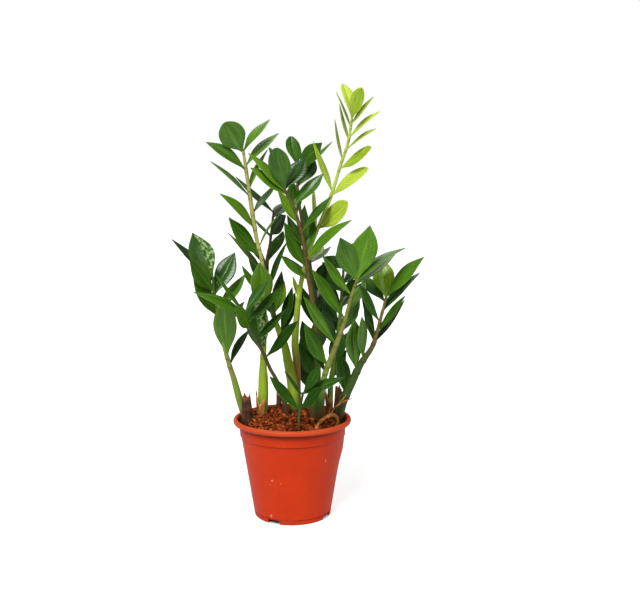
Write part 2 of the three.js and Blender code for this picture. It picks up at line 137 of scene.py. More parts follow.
# %% [markdown]
# What repeats is modelled once and copied, and the copies are joined to one piece. Points can carry a
# number that the material reads, such as how old a leaflet is. The last helper hands a finished piece to
# the frame: it rides on the one body there is and stands for its solid. Where a surface is
# uneven, the unevenness comes from its points' places, so it is the same in each run.

# %% Copy, join, mark and hand over
def place_in_mesh(piece):
    """Moves a piece's place, turn and size into its mesh."""
    alone(piece)
    bpy.ops.object.transform_apply(location=True, rotation=True, scale=True)


def copied(master, matrix=Matrix()):
    """A copy of a master with its own mesh, put in place."""
    copy = bpy.data.objects.new(master.name, master.data.copy())
    copy.data.transform(matrix)
    bpy.context.collection.objects.link(copy)
    return copy


def joined(pieces, name):
    """Joins pieces to one mesh."""
    alone(pieces[0])
    for piece in pieces:
        piece.select_set(True)
    bpy.ops.object.join()
    return made(name)


def mark(piece, label, marks):
    """Gives every point a number, from a list or the same one for all."""
    if not isinstance(marks, list):
        marks = [marks] * len(piece.data.vertices)
    piece.data.attributes.new(label, "FLOAT", "POINT").data.foreach_set("value", marks)


def uneven(point, scale, octaves):
    """Cloudy unevenness round 0 at a point, with each octave twice as fine as the last."""
    fall_off, finer = 0.9, 2.0
    return noise.fractal(point * scale, fall_off, finer, octaves)


def finished(piece, slot, *nodes, smooth=40):
    """Shades a piece, smooth up to an angle in degrees, and hands it over in place of its nodes."""
    place_in_mesh(piece)
    bpy.ops.object.shade_smooth_by_angle(angle=math.radians(smooth))
    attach(piece, "root")
    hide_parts(*nodes)
    print(f"{piece.name}: {len(piece.data.polygons)} faces")


# %% [markdown]
# ## Tools for materials
#
# A finish is a small program of nodes. Written by hand it is long, so one class wraps a socket and lets
# it take part in sums: `0.5 + 0.2 * spots` adds the Math nodes. Another holds a tree of nodes and adds
# any other kind of node with one method.

# %% Sums of sockets
class Wire:
    """The value of a socket, which can take part in sums."""

    def __init__(self, nodes, socket):
        self.nodes = nodes
        self.socket = socket

    def maths(self, operation, first, second=0.0):
        return self.nodes.node("Math", {"operation": operation}, {0: first, 1: second})

    def __add__(self, other):
        return self.maths("ADD", self, other)

    def __sub__(self, other):
        return self.maths("SUBTRACT", self, other)

    def __rsub__(self, other):
        return self.maths("SUBTRACT", other, self)

    def __mul__(self, other):
        return self.maths("MULTIPLY", self, other)

    __radd__ = __add__
    __rmul__ = __mul__

    def size(self):
        return self.maths("ABSOLUTE", self)

    def sine(self):
        return self.maths("SINE", self)

    def step(self, low, high):
        """0 below low and 1 above high, with a soft change between."""
        return self.nodes.node(
            "MapRange", {"interpolation_type": "SMOOTHSTEP"},
            {"Value": self, "From Min": low, "From Max": high})

    def band(self, centre, half, soft):
        """1 within half of the centre, and 0 outside it."""
        return 1 - (self - centre).size().step(half, half + soft)


# %% A tree of nodes
class Nodes:
    """A tree that is built node by node, round the shader that it already has."""

    def __init__(self, owner, shader):
        owner.use_nodes = True
        self.tree = owner.node_tree
        self.shader = self.tree.nodes[shader]

    def feed(self, socket, value):
        if isinstance(value, Wire):
            self.tree.links.new(value.socket, socket)
        else:
            socket.default_value = value

    def node(self, kind, settings, inputs, out=0):
        added = self.tree.nodes.new("ShaderNode" + kind)
        for name, value in settings.items():
            if name == "stops":
                self.set_stops(added.color_ramp, value)
            else:
                setattr(added, name, value)
        for name, value in inputs.items():
            self.feed(added.inputs[name], value)
        return Wire(self, added.outputs[out])

    def set_stops(self, ramp, stops):
        while len(ramp.elements) < len(stops):
            ramp.elements.new(1.0)
        for element, (place, color) in zip(ramp.elements, stops):
            element.position = place
            element.color = color

    def ray(self, kind):
        """1 for rays of that kind, and 0 for others."""
        return self.node("LightPath", {}, {}, out=kind)

    def between(self, factor, low, high):
        """The low number where the factor is 0, and the high one where it is 1."""
        return self.node("MapRange", {}, {"Value": factor, "To Min": low, "To Max": high})

    def set(self, **inputs):
        for name, value in inputs.items():
            self.feed(self.shader.inputs[name.replace("_", " ")], value)


# %% A finish
NOISE_ROUGHNESS = 0.55


class Finish(Nodes):
    """The nodes of a new material."""

    def __init__(self, name):
        self.material = bpy.data.materials.new(name)
        super().__init__(self.material, "Principled BSDF")

    def place(self, scale=(1, 1, 1)):
        """Where a point of the piece is, in metres."""
        here = self.node("TexCoord", {}, {}, out="Object")
        return self.node("Mapping", {}, {"Vector": here, "Scale": scale})

    def parts(self, vector):
        """X, Y and Z of a vector."""
        split = self.node("SeparateXYZ", {}, {"Vector": vector})
        return [Wire(self, socket) for socket in split.socket.node.outputs]

    def vector(self, operation, first, second=(0, 0, 0), out="Vector"):
        return self.node("VectorMath", {"operation": operation}, {0: first, 1: second}, out)

    def length(self, vector):
        return self.vector("LENGTH", vector, out="Value")

    def noise(self, scale, detail=3.0, where=None):
        """Cloudy noise from 0 to 1, with so many clouds to a metre."""
        return self.node("TexNoise", {}, {
            "Vector": where or self.place(), "Scale": scale, "Detail": detail,
            "Roughness": NOISE_ROUGHNESS})

    def value(self, attribute):
        return self.node("Attribute", {"attribute_name": attribute}, {}, out="Fac")

    def blend(self, factor, first, second):
        """From the first colour at 0 to the second at 1."""
        return self.node("Mix", {"data_type": "RGBA"}, {0: factor, 6: first, 7: second}, out=2)

    def ramp(self, factor, stops):
        return self.node("ValToRGB", {"stops": stops}, {"Fac": factor})

    def bump(self, height, depth):
        """Relief of that depth in metres, where the height goes from 0 to 1."""
        return self.node("Bump", {}, {"Height": height, "Distance": depth})


def paint(red, green, blue):
    """A colour as a shader takes it, from its usual 0 to 255 values."""
    def straight(value):
        share = value / 255
        return share / 12.92 if share <= 0.04045 else ((share + 0.055) / 1.055) ** 2.4
    return (straight(red), straight(green), straight(blue), 1.0)


# %% [markdown]
# ## A white studio
#
# A white studio is a white floor, a white surround and large soft lamps. The floor also glows a little
# where the camera sees it, as a table lit from below does, so the shadow on it is only a hint. Under the
# pot it stays dark, and that darkness shows through the notches of the foot.

# %% Floor
FLOOR_SIZE = 60  # metres
FLOOR_WHITE = (0.62, 0.62, 0.62, 1)
FLOOR_GLOW = 0.55  # of a lit table, which takes the shadow away
DARK_WITHIN = 50 * MM  # of the middle, under the pot
DARK_EDGE = 8 * MM

bpy.ops.mesh.primitive_plane_add(size=FLOOR_SIZE, location=(0, 0, solid_box[0].z))
floor = made("floor")
paper = Finish("white_floor")
open_floor = paper.node("MapRange", {}, {
    "Value": paper.length(paper.place()), "From Min": DARK_WITHIN, "From Max": DARK_WITHIN + DARK_EDGE})
paper.set(
    Base_Color=FLOOR_WHITE,
    Roughness=1.0,
    Specular_IOR_Level=0.0,
    Emission_Color=open_floor * paper.ray("Is Camera Ray"),
    Emission_Strength=FLOOR_GLOW,
)
floor.data.materials.append(paper.material)
print("floor:", FLOOR_SIZE, "metres wide")

# %% [markdown]
# The light comes from three wide suns, the strongest from the upper left, the others from the right and
# from behind, because their light doesn't fade with distance and leaves the floor equally white up to the
# horizon. Two soft boxes give the leaves and the rim their highlights.

# %% Lamps
LAMPS = {  # kind, place, size in metres or angle in degrees, and power
    "key": ("SUN", (-0.6, -1.4, 2.0), 22, 3.0),
    "fill": ("SUN", (1.4, -0.9, 2.2), 35, 0.5),
    "back": ("SUN", (-0.4, 1.6, 2.4), 35, 0.8),
    "soft_box_left": ("AREA", (-1.3, -1.9, 1.5), 1.0, 11),
    "soft_box_right": ("AREA", (1.6, -1.5, 1.0), 1.0, 9),
}
LAMPS_AIM = Vector((0, 0, 250)) * MM

for name, (kind, place, size, power) in LAMPS.items():
    bpy.ops.object.light_add(type=kind, location=place)
    lamp = made(name)
    lamp.data.energy = power
    if kind == "SUN":
        lamp.data.angle = math.radians(size)
    else:
        lamp.data.size = size
    lamp.rotation_euler = (LAMPS_AIM - lamp.location).to_track_quat("-Z", "Y").to_euler()
print("lamps:", ", ".join(LAMPS))

# %% [markdown]
# The surround is white where the camera sees it but dimmer as a light, and dimmer still in gloss, because
# waxy leaves would mirror a bright one and turn grey. The standard view transform keeps the strong greens
# as they are.

# %% Surround
SURROUND_SEEN = 1.0
SURROUND_AS_LIGHT = 0.28
SURROUND_IN_GLOSS = 0.15

world = bpy.data.worlds.new("studio")
bpy.context.scene.world = world
surround = Nodes(world, "Background")
unseen = surround.between(surround.ray("Is Glossy Ray"), SURROUND_AS_LIGHT, SURROUND_IN_GLOSS)
surround.set(
    Color=(1, 1, 1, 1),
    Strength=surround.between(surround.ray("Is Camera Ray"), unseen, SURROUND_SEEN),
)
bpy.context.scene.view_settings.view_transform = "Standard"
print("surround:", world.name)

# %% [markdown]
# ## Finishes of the leaves
#
# A leaflet is thick and waxy, with a pale sunken midrib, faint side veins, a thin pale margin and an
# underside that is lighter and duller. Old leaflets are deep green and new ones lime. Each leaflet
# carries a number of its own, `tone`, from 0 for the deepest green to 1 for the youngest, so that one
# material serves all; the same number also holds painted light and shade. Clouds and long streaks shift
# it a little over each leaflet. A second one, `glint`, is how much of a painted highlight, a pale mottled
# gleam, lies on one half of it. The leaflet's UV map tells where a point lies across and along it.

# %% Leaf finishes
LEAF_TONES = [(0.0, paint(12, 38, 2)), (0.3, paint(43, 83, 9)), (0.55, paint(80, 124, 18)),
              (0.78, paint(128, 160, 26)), (1.0, paint(180, 200, 66))]
# The colour of the painted highlight, a pale mottled gleam on one half of a leaflet.
PAINTED_GLEAM = paint(172, 206, 132)
UNDERSIDE = paint(128, 158, 84)
RIB_HALF = 0.1  # share of the half width
MARGIN_FROM = 0.9
BASE_TO = 0.22  # share of the length
VEIN_WAVE = 82  # radians from the base of the leaflet to its tip
VEIN_CLIMB = 0.16  # how far a vein rises on its way to the margin, as a share of the length
# How much each pattern shifts the tone.
IN_CLOUDS, IN_STREAKS, IN_VEINS = 0.24, 0.34, -0.03
AT_BASE, AT_MARGIN, AT_RIB = 0.1, 0.08, 0.1
LEAF_RELIEF = 0.25 * MM


def leaf_finish(name, roughness, coat, underside_share):
    leaf = Finish(name)
    unrolled = leaf.node("UVMap", {"uv_map": "UVMap"}, {})
    along, across, _ = leaf.parts(unrolled)
    side = ((across - 0.5) * 2).size()
    rib = 1 - side.step(0.0, RIB_HALF)
    margin = side.step(MARGIN_FROM, 1.0)
    base = 1 - along.step(0.0, BASE_TO)
    veins = ((along - side * VEIN_CLIMB) * VEIN_WAVE + leaf.noise(70, 2) * 5).sine()
    veins = (veins * 0.5 + 0.5) * side.step(0.04, 0.3) * (1 - margin)
    clouds = leaf.noise(24, 4) - 0.5
    lengthwise = leaf.node("Mapping", {}, {"Vector": unrolled, "Scale": (1.6, 9, 1)})
    streaks = leaf.noise(1, 2, leaf.vector("ADD", lengthwise, leaf.place((30, 30, 30)))) - 0.5
    tone = (leaf.value("tone") + clouds * IN_CLOUDS + streaks * IN_STREAKS
            + base * AT_BASE + margin * AT_MARGIN + rib * AT_RIB + veins * IN_VEINS)
    # Painted highlight: a pale mottled gleam on one half of the leaflet, as strong as its glint.
    painted_gleam_spots = leaf.noise(260, 3).step(0.44, 0.6) * (0.62 - across).step(0.06, 0.3)
    color = leaf.blend(leaf.value("glint") * painted_gleam_spots * 0.8, leaf.ramp(tone, LEAF_TONES), PAINTED_GLEAM)
    if underside_share:
        color = leaf.blend(underside_share, color, UNDERSIDE)
    leaf.set(
        Base_Color=color,
        Roughness=roughness + leaf.noise(90, 3) * 0.12,
        Coat_Weight=coat,
        Coat_Roughness=0.14,
        Specular_IOR_Level=0.24,
        Normal=leaf.bump(veins * 0.5 - rib * 1.2 + leaf.noise(110, 2) * 0.5, LEAF_RELIEF),
    )
    return leaf.material


leaf_top = leaf_finish("leaf_top", roughness=0.27, coat=0.14, underside_share=0)
leaf_under = leaf_finish("leaf_under", roughness=0.5, coat=0.0, underside_share=0.3)
print("leaf finishes:", leaf_top.name, leaf_under.name)

# %% [markdown]
# The stalk is fleshy and smooth. Its colour changes from the soil up, from brown through lime or olive
# to a tan or green rachis, so the mesh carries it as a colour attribute, `tint`. The material adds what
# is finer: long streaks, small dark flecks and the dark scar at each leaflet, which the mesh marks with
# `scar`.

# %% Stalk finish
STREAK_GREEN = paint(86, 112, 36)
FLECK_DARK = paint(70, 84, 30)
SCAR_DARK = paint(58, 44, 22)

stalk = Finish("stalk")
streaks = stalk.noise(60, 3, stalk.place((1, 1, 0.08)))
flecks = stalk.noise(150, 3, stalk.place((1, 1, 0.5))).step(0.62, 0.72)
tint = stalk.node("Attribute", {"attribute_name": "tint"}, {}, out="Color")
tint = stalk.blend(streaks.step(0.35, 0.75) * 0.22, tint, STREAK_GREEN)
tint = stalk.blend(flecks * 0.3, tint, FLECK_DARK)
tint = stalk.blend(stalk.value("scar") * 0.45, tint, SCAR_DARK)
stalk.set(
    Base_Color=tint,
    Roughness=0.36 + stalk.noise(200) * 0.2,
    Specular_IOR_Level=0.25,
    Normal=stalk.bump(streaks + stalk.noise(500, 2) * 0.3, 0.2 * MM),
)
print("stalk finish:", stalk.material.name)

# %% [markdown]
# ## One leaflet
#
# A leaflet could be a curve outline filled with faces, but then its veins and folds would have nothing
# to follow. So it starts as a flat grid, one unit long and wide, with rows of points across it. Each row
# is narrowed to the outline of the leaf, and the midrib is pushed down into a fold. The grid's own UV
# map then runs along and across the leaf. Three shapes cover the plant: broad leaflets, slimmer ones
# that taper for half their length, and round ones with a blunt tip.

# %% Master leaflets
LEAF_ROWS = 12
LEAF_COLUMNS = 6
LEAF_FOLD = 0.12  # how far the midrib lies under the margins, as a share of the width
NEAR = 0.01  # a point this near to a line lies on it
# Width along the leaf, as shares of its full width, from its narrow base to its tip.
LEAF_SHAPES = {
    "broad": [0.07, 0.15, 0.32, 0.56, 0.77, 0.91, 0.99, 1.0, 0.93, 0.78, 0.55, 0.27, 0.02],
    "slim": [0.1, 0.24, 0.5, 0.75, 0.93, 1.0, 0.98, 0.9, 0.78, 0.62, 0.43, 0.22, 0.02],
    "round": [0.07, 0.14, 0.28, 0.5, 0.73, 0.9, 0.99, 1.0, 0.98, 0.92, 0.8, 0.58, 0.16],
}


def master_leaf(name, widths):
    bpy.ops.mesh.primitive_grid_add(
        x_subdivisions=LEAF_ROWS, y_subdivisions=LEAF_COLUMNS, size=1, location=(0.5, 0, 0))
    leaf = made(name)
    place_in_mesh(leaf)
    with editing(leaf):
        for row, width in enumerate(widths):
            share = row / LEAF_ROWS
            choose(leaf, lambda at: abs(at.x - share) < NEAR)
            bpy.ops.transform.resize(value=(1, width, 1), center_override=(share, 0, 0))
            choose(leaf, lambda at: abs(at.x - share) < NEAR and abs(at.y) < NEAR * width)
            bpy.ops.transform.translate(value=(0, 0, -LEAF_FOLD * width))
    return leaf


MASTERS = {name: master_leaf(name, widths) for name, widths in LEAF_SHAPES.items()}
print("leaflet:", len(MASTERS["broad"].data.polygons), "faces")

# %% [markdown]
# No two leaflets are alike, so each copy is twisted and bent a little by the Simple Deform modifier,
# which bends along X, the length of the leaf. Then it is set in place: X runs from the stalk to the tip,
# and Z is the upper side. The turn of that side is measured from the front, up towards the stalk. Last,
# the leaf is bowed towards its upper side, most at half its length.

# %% One placed leaflet
FRONT = Vector((0, -1, 0))
LEAF_BOW = 0.02  # share of its length
LEAF_CHANCE = (("TWIST", "X", 8), ("BEND", "Y", 10), ("BEND", "Z", 6))  # degrees either way


def leaflet(master, root, reach, width, turn, bow, chance):
    leaf = copied(master)
    for method, axis, most in LEAF_CHANCE:
        modify(leaf, "SIMPLE_DEFORM", deform_method=method, deform_axis=axis,
               angle=math.radians(chance.uniform(-most, most)))
    along = reach.normalized()
    facing = (FRONT - along * FRONT.dot(along)).normalized()
    towards_stalk = 1 if reach.x < 0 else -1
    facing.rotate(Matrix.Rotation(towards_stalk * math.radians(turn), 3, along))
    across = facing.cross(along)
    for vertex in leaf.data.vertices:
        share, side, lift = vertex.co
        up = lift * width + bow * reach.length * math.sin(math.pi * min(max(share, 0), 1))
        vertex.co = root + reach * share + across * side * width + facing * up
    return leaf


# %% [markdown]
# ## One stalk
#
# A stalk is a tube along a smooth line. It could be extruded ring by ring, but a curve with a round
# bevel keeps a radius at each point, so the taper and the small swelling at every leaflet are numbers
# on that curve. It is then turned into a mesh, which carries the colours.

# %% Smooth line through a few points
def line_through(points, steps):
    """Points of a centripetal Catmull-Rom curve, steps to a span, each with its radius."""
    rows = [Vector(point) for point in points]
    rows = [2 * rows[0] - rows[1], *rows, 2 * rows[-1] - rows[-2]]
    line = []
    for before, start, end, after in zip(rows, rows[1:], rows[2:], rows[3:]):
        gaps = [math.sqrt((b.xyz - a.xyz).length) for a, b in
                ((before, start), (start, end), (end, after))]
        leave = (start - before) / gaps[0] - (end - before) / (gaps[0] + gaps[1])
        leave = (leave + (end - start) / gaps[1]) * gaps[1]
        arrive = (end - start) / gaps[1] - (after - start) / (gaps[1] + gaps[2])
        arrive = (arrive + (after - end) / gaps[2]) * gaps[1]
        for step in range(steps):
            t = step / steps
            line.append(start * (2 * t**3 - 3 * t**2 + 1) + leave * (t**3 - 2 * t**2 + t)
                        + end * (3 * t**2 - 2 * t**3) + arrive * (t**3 - t**2))
    line.append(rows[-2])
    return line


# %% A point and a colour at a height
def at_height(line, height):
    """The point of a rising line at a height."""
    for low, high in zip(line, line[1:]):
        if low.z <= height <= high.z:
            return low.lerp(high, (height - low.z) / (high.z - low.z))
    return line[-1]


def color_at(colors, height):
    """The colour at a height, from a list of (height, colour) that rises."""
    if height <= colors[0][0]:
        return colors[0][1]
    for (low, first), (high, second) in zip(colors, colors[1:]):
        if height <= high:
            share = (height - low) / (high - low)
            return [a + (b - a) * share for a, b in zip(first, second)]
    return colors[-1][1]


# %% A tube along a line
def tube(name, points, roundness):
    """A closed mesh tube through points that carry a radius, with Blender's bevel resolution."""
    bpy.ops.curve.primitive_nurbs_path_add()
    path = made(name)
    path.data.splines.clear()
    spline = path.data.splines.new("POLY")
    spline.points.add(len(points) - 1)
    for place, point in zip(spline.points, points):
        place.co = (*(point.xyz * MM), 1)
        place.radius = point.w
    path.data.bevel_depth = MM
    path.data.bevel_resolution = roundness
    path.data.use_fill_caps = True
    bpy.ops.object.convert(target="MESH")
    return bpy.context.object


# %% One stalk as a mesh
STALK_STEPS = 14  # to a span of its line
STALK_ROUNDNESS = 3  # 10 sides
NODE_SWELL = 0.13  # share that a stalk is thicker at a leaflet
NODE_REACH = 2.4
SCAR_BELOW = 2.5  # the leaflet
SCAR_REACH = 1.3


def nearness(height, places, reach):
    """About 1 at a height near one of the places, and 0 away from them all."""
    return min(1, sum(math.exp(-((height - place) / reach) ** 2) for place in places))


def stalk_of(name, line, colors, heights):
    thick = [point.copy() for point in line]
    for point in thick:
        point.w *= 1 + NODE_SWELL * nearness(point.z, heights, NODE_REACH)
    stem = tube(name, thick, STALK_ROUNDNESS)
    levels = [vertex.co.z / MM for vertex in stem.data.vertices]
    tints = [part for level in levels for part in color_at(colors, level)]
    stem.data.attributes.new("tint", "FLOAT_COLOR", "POINT").data.foreach_set("color", tints)
    mark(stem, "scar", [nearness(level + SCAR_BELOW, heights, SCAR_REACH) for level in levels])
    stem.data.materials.append(stalk.material)
    return stem


# %% [markdown]
# ## The fronds
#
# Each row of `stalk` is a point of its middle line, [x, y, z, radius], from the buried end up. Each row
# of `leaves` is [height on the stalk, tip across, tip back, tip up, width, turn, bow], with no bow where
# it is the usual one. They are the places of the plain solids, read leaflet by leaflet from the plant.
# `colors` gives the stalk's colour by height, and `tone` how young the leaflets are: the lower ones are
# older and deeper green. `tone` also holds painted shade, set lower for fronds that stand in the shade
# of others. The leaflets are counted from 0 in `round`, which lists those with a blunt tip, and in
# `tones` and `glints`, for those that have a tone or a painted gleam of their own. Such a tone of its
# own is partly painted light and shade, lighter for a lit leaflet and darker for a shaded one. The two
# tall fronds come first.

# %% Tall fronds
EARTH = paint(74, 52, 28)
LIME = paint(142, 168, 36)
GREEN = paint(106, 138, 40)
DEEP = paint(46, 70, 20)
DARK_STEM = paint(72, 64, 34)
OLIVE = paint(122, 120, 56)
TAN = paint(170, 166, 94)
BROWN = paint(92, 72, 38)
RUST = paint(196, 126, 70)
YOUNG = paint(178, 196, 84)

FRONDS = {}
FRONDS["frond_young"] = dict(
    tone=0.8, round={0, 1, 8, 10, 11}, tones={11: 0.9},
    colors=[(150, EARTH), (172, RUST), (196, RUST), (222, paint(150, 130, 52)), (246, LIME), (278, LIME),
        (282, TAN), (286, LIME), (400, YOUNG), (560, YOUNG)],
    stalk=[[5, 30, 112, 4.5], [6, 30, 145, 6], [6, 29, 172, 6], [5.5, 27, 219, 5.8], [3.5, 21, 245, 5.6],
        [6, 15, 282, 4.8], [10, 13, 318, 4], [16, 14, 351, 3.4], [24, 14, 380, 3.2], [39, 12, 418, 2.8],
        [56, 8, 460, 2.5], [69, 2, 502, 2.2], [79, -4, 532, 2], [84, -10, 564, 1.6]],
    leaves=[[562, -11, 20, 52, 27, 45, 0.1], [563, 13, -22, 39, 25, 45, 0.06],
        [552, -20, 26, 53, 25, 78, 0.02], [557, 29, -26, 33, 21, 69, 0.02], [535, -12, 30, 54, 26, 78, 0],
        [538, 41, -28, 33, 25, 73, 0.06], [508, -10, 34, 62, 28, 80, 0], [522, 40, -34, 26, 25, 78, 0.05],
        [496, 42, -40, 27, 26, 56, 0], [464, -27, 28, 74, 30, 69, 0], [458, 51, -38, 37, 29, 54, 0.06],
        [412, 42, -40, 37, 31, 32, 0], [406, -4, 38, 70, 24, 80, 0], [366, 24, 44, 22, 26, 40],
        [312, -9, 24, 32, 16, 68]],
)
FRONDS["frond_tall_left"] = dict(
    tone=0.4, round={0, 12}, tones={11: 0.56, 13: 0.5}, glints={12: 0.8},
    colors=[(146, EARTH), (158, GREEN), (176, LIME), (250, LIME), (300, GREEN), (360, TAN), (520, TAN)],
    stalk=[[-43, 2, 112, 6], [-43, 2, 144, 7.5], [-42, 2, 181, 7.6], [-42, 2, 201, 6.9], [-42, 2, 220, 5],
        [-41, 2, 241, 4.2], [-39, 1, 283, 3.4], [-40, 0, 326, 3.2], [-42, -1, 366, 3], [-49, -2, 397, 3],
        [-55, -4, 436, 3], [-59, -6, 467, 2.8], [-63, -9, 497, 2.4], [-66, -12, 520, 1.8]],
    leaves=[[518, -24, -20, 38, 37, 5], [519, 35, 26, 47, 30, 58, 0.06], [493, -53, -22, 37, 29, 56, 0.09],
        [499, 45, 22, 48, 34, 64, 0.06], [457, -51, -30, 47, 28, 80, 0.04],
        [467, 25, 24, 58, 29, 70, 0.05], [434, 32, 38, 45, 29, 62, 0.01],
        [413, -45, -30, 48, 30, 70, 0.075], [372, -43, -28, 56, 32, 53, -0.01],
        [352, -52, 26, 55, 26, 79, 0.02], [386, 41, 24, 57, 26, 83, 0.08], [300, -6, -26, 67, 33, 20],
        [230, -11, -34, 88, 34, 20, 0], [318, -33, 16, 42, 24, 70, -0.03]],
)
print("fronds:", ", ".join(FRONDS))

# %% [markdown]
# Three short fronds stand at the left and the front. One leans far out, one crosses before the tall frond
# on a thin dark stalk, and one is only a sprig at the rim.

# %% Low fronds at the left and the front
FRONDS["frond_low_left"] = dict(
    tone=0.4, tones={0: 0.28, 1: 0.1, 2: 0.26, 4: 0.42, 6: 0.5, 7: 0.12}, glints={0: 0.85},
    colors=[(146, EARTH), (156, OLIVE), (178, GREEN), (215, OLIVE), (250, GREEN), (345, DEEP)],
    stalk=[[-61, -6, 114, 4.2], [-70, -8, 149, 5], [-77, -10, 176, 5.2], [-83, -12, 201, 4.3],
        [-89, -15, 222, 3.5], [-94, -18, 243, 3.1], [-99, -23, 272, 2.7], [-103, -27, 301, 2.4],
        [-107, -31, 329, 2.1], [-107, -34, 347, 1.7]],
    leaves=[[345, -27, -10, 63, 35, 5], [341, -61, 22, 58, 26, 70, 0.03], [322, 25, 30, 58, 30, 15],
        [326, -27, -34, 48, 28, 40, 0], [289, -32, -24, 64, 32, 56, 0], [298, 37, 28, 52, 30, 49, 0],
        [232, 0, -22, 88, 35, 12], [219, 27, 26, 50, 22, 58, 0.07], [272, 29, 40, 36, 24, 54]],
)
FRONDS["frond_front_left"] = dict(
    tone=0.36, tones={0: 0.42, 3: 0.2, 4: 0.16, 5: 0.12},
    colors=[(150, EARTH), (180, DARK_STEM), (240, DARK_STEM), (300, DEEP)],
    stalk=[[-8, -6, 114, 3.6], [-9, -5, 151, 4], [-14, -8, 176, 3.4], [-23, -14, 201, 2.9],
        [-30, -19, 215, 2.7], [-37, -27, 234, 2.5], [-46, -36, 256, 2.2], [-56, -46, 278, 1.9],
        [-63, -55, 301, 1.5]],
    leaves=[[299, -67, -16, 31, 30, 66, 0.04], [298, -38, -12, 56, 18, 84, 0],
        [300, 31, 12, 42, 24, 52, 0.02], [286, 45, 16, 47, 26, 62, 0], [260, 41, 8, 43, 28, 66, 0],
        [233, 47, -24, 56, 30, 63, 0], [277, -15, -52, 35, 27, 63, 0]],
)
FRONDS["frond_front_small"] = dict(
    tone=0.3,
    colors=[(146, EARTH), (158, DEEP), (192, DEEP)],
    stalk=[[10, -54, 116, 1.8], [11, -60, 138, 2.1], [11, -61, 156, 1.9], [14, -62, 175, 1.7],
        [17, -64, 192, 1.4]],
    leaves=[[166, -41, -6, 49, 24, 63, 0], [188, -24, -20, 37, 18, 82, 0], [190, 57, -6, 24, 24, 66, 0.02],
        [189, 24, -8, 42, 20, 50, 0], [168, 30, -26, 36, 24, 56, 0]],
)
print("fronds:", ", ".join(FRONDS))

# %% [markdown]
# The middle of the plant is dense. Two of its three fronds stand behind, in the shade of the others, and
# their lower tone is painted shade.

# %% Fronds in the middle
FRONDS["frond_back_left"] = dict(
    tone=0.24, tones={9: 0.55},
    colors=[(150, EARTH), (162, GREEN), (176, LIME), (240, LIME), (300, DEEP), (410, BROWN)],
    stalk=[[5, 10, 112, 6.4], [4, 10, 148, 8], [1, 11, 175, 8.3], [-1, 13, 193, 8], [-7, 18, 221, 7],
        [-12, 24, 243, 5.8], [-26, 33, 278, 4], [-36, 39, 322, 3.4], [-38, 44, 364, 2.8],
        [-34, 46, 388, 2.2], [-31, 48, 413, 1.9], [-28, 49, 438, 1.5]],
    leaves=[[436, -57, 12, 53, 28, 72, 0], [400, -26, 34, 26, 22, 80, 0], [402, 23, -26, 31, 28, 46, 0.02],
        [428, 20, 22, 24, 28, 48, 0.02], [362, 24, 30, 47, 30, 52], [355, -34, 30, 52, 26, 70, 0],
        [324, 30, -22, 72, 31, 68, 0.03], [322, -32, 34, 50, 29, 66, 0], [284, -37, 30, 50, 29, 60, 0],
        [286, 16, 4, 51, 29, 50, 0], [255, 20, 18, 64, 26, 50, 0], [290, 12, 34, 59, 24, 50, 0],
        [258, 18, 6, 70, 26, 56, 0]],
)
FRONDS["frond_centre"] = dict(
    tone=0.42, round={0}, tones={0: 0.34, 1: 0.14},
    colors=[(150, EARTH), (170, DEEP), (240, DEEP), (290, BROWN), (466, BROWN)],
    stalk=[[30, -4, 112, 5], [31, -4, 153, 6.5], [34, -4, 175, 6.2], [37, -4, 211, 4.6],
        [36, -5, 248, 4.2], [34, -6, 280, 4], [29, -7, 313, 3.8], [24, -8, 344, 3.4], [19, -10, 381, 3],
        [13, -13, 411, 2.8], [3, -17, 442, 2.5], [-9, -22, 468, 1.8]],
    leaves=[[466, -12, -18, 56, 31, 5], [467, 29, 20, 44, 28, 22], [463, -51, -12, 53, 28, 65, 0.04],
        [459, -49, -24, 37, 28, 57, 0.02], [443, 42, 17, 47, 30, 54, 0.02], [419, -28, -28, 46, 26, 62, 0],
        [384, -25, 8, 48, 25, 62, 0], [357, -31, -24, 66, 34, 53, -0.04],
        [340, -41, 10, 37, 27, 64, -0.02], [408, 42, 6, 50, 27, 63, 0.02],
        [371, 63, -26, 55, 32, 66, 0.06], [430, -6, 20, 50, 24, 20, 0], [378, 11, 14, 48, 24, 40, 0]],
)
FRONDS["frond_back_centre"] = dict(
    tone=0.24, round={0}, tones={0: 0.34},
    colors=[(150, EARTH), (180, BROWN), (300, DEEP), (504, BROWN)],
    stalk=[[34, 46, 112, 4.2], [35, 46, 150, 5.2], [35, 47, 186, 4.8], [36, 49, 239, 4.2],
        [34, 52, 299, 3.6], [25, 55, 358, 3], [14, 59, 418, 2.5], [7, 63, 469, 2], [6, 66, 506, 1.6]],
    leaves=[[504, -9, 34, 47, 27, 40, 0], [502, 37, -20, 35, 26, 20], [493, 53, 30, 50, 30, 72, 0],
        [484, -44, 26, 50, 26, 56, 0], [474, 26, 30, 40, 32, 42, 0], [392, -2, 36, 56, 27, 60, 0],
        [361, 32, 34, 24, 24, 66, 0], [332, -44, 36, 38, 24, 60, 0], [305, 16, 42, 29, 26, 58, 0],
        [182, -25, 14, 66, 30, 24], [318, 18, -14, 46, 26, 50, 0], [262, -26, 22, 66, 28, 44, 0],
        [272, 6, 44, 52, 26, 44, 0], [222, 6, -6, 66, 28, 28, 0], [215, -24, 6, 60, 28, 30, 0],
        [166, -27, 4, 46, 24, 30, 0]],
)
print("fronds:", ", ".join(FRONDS))

# %% [markdown]
# On the right, two thick stalks lean out to the front and the side, and a thin one stands behind them.

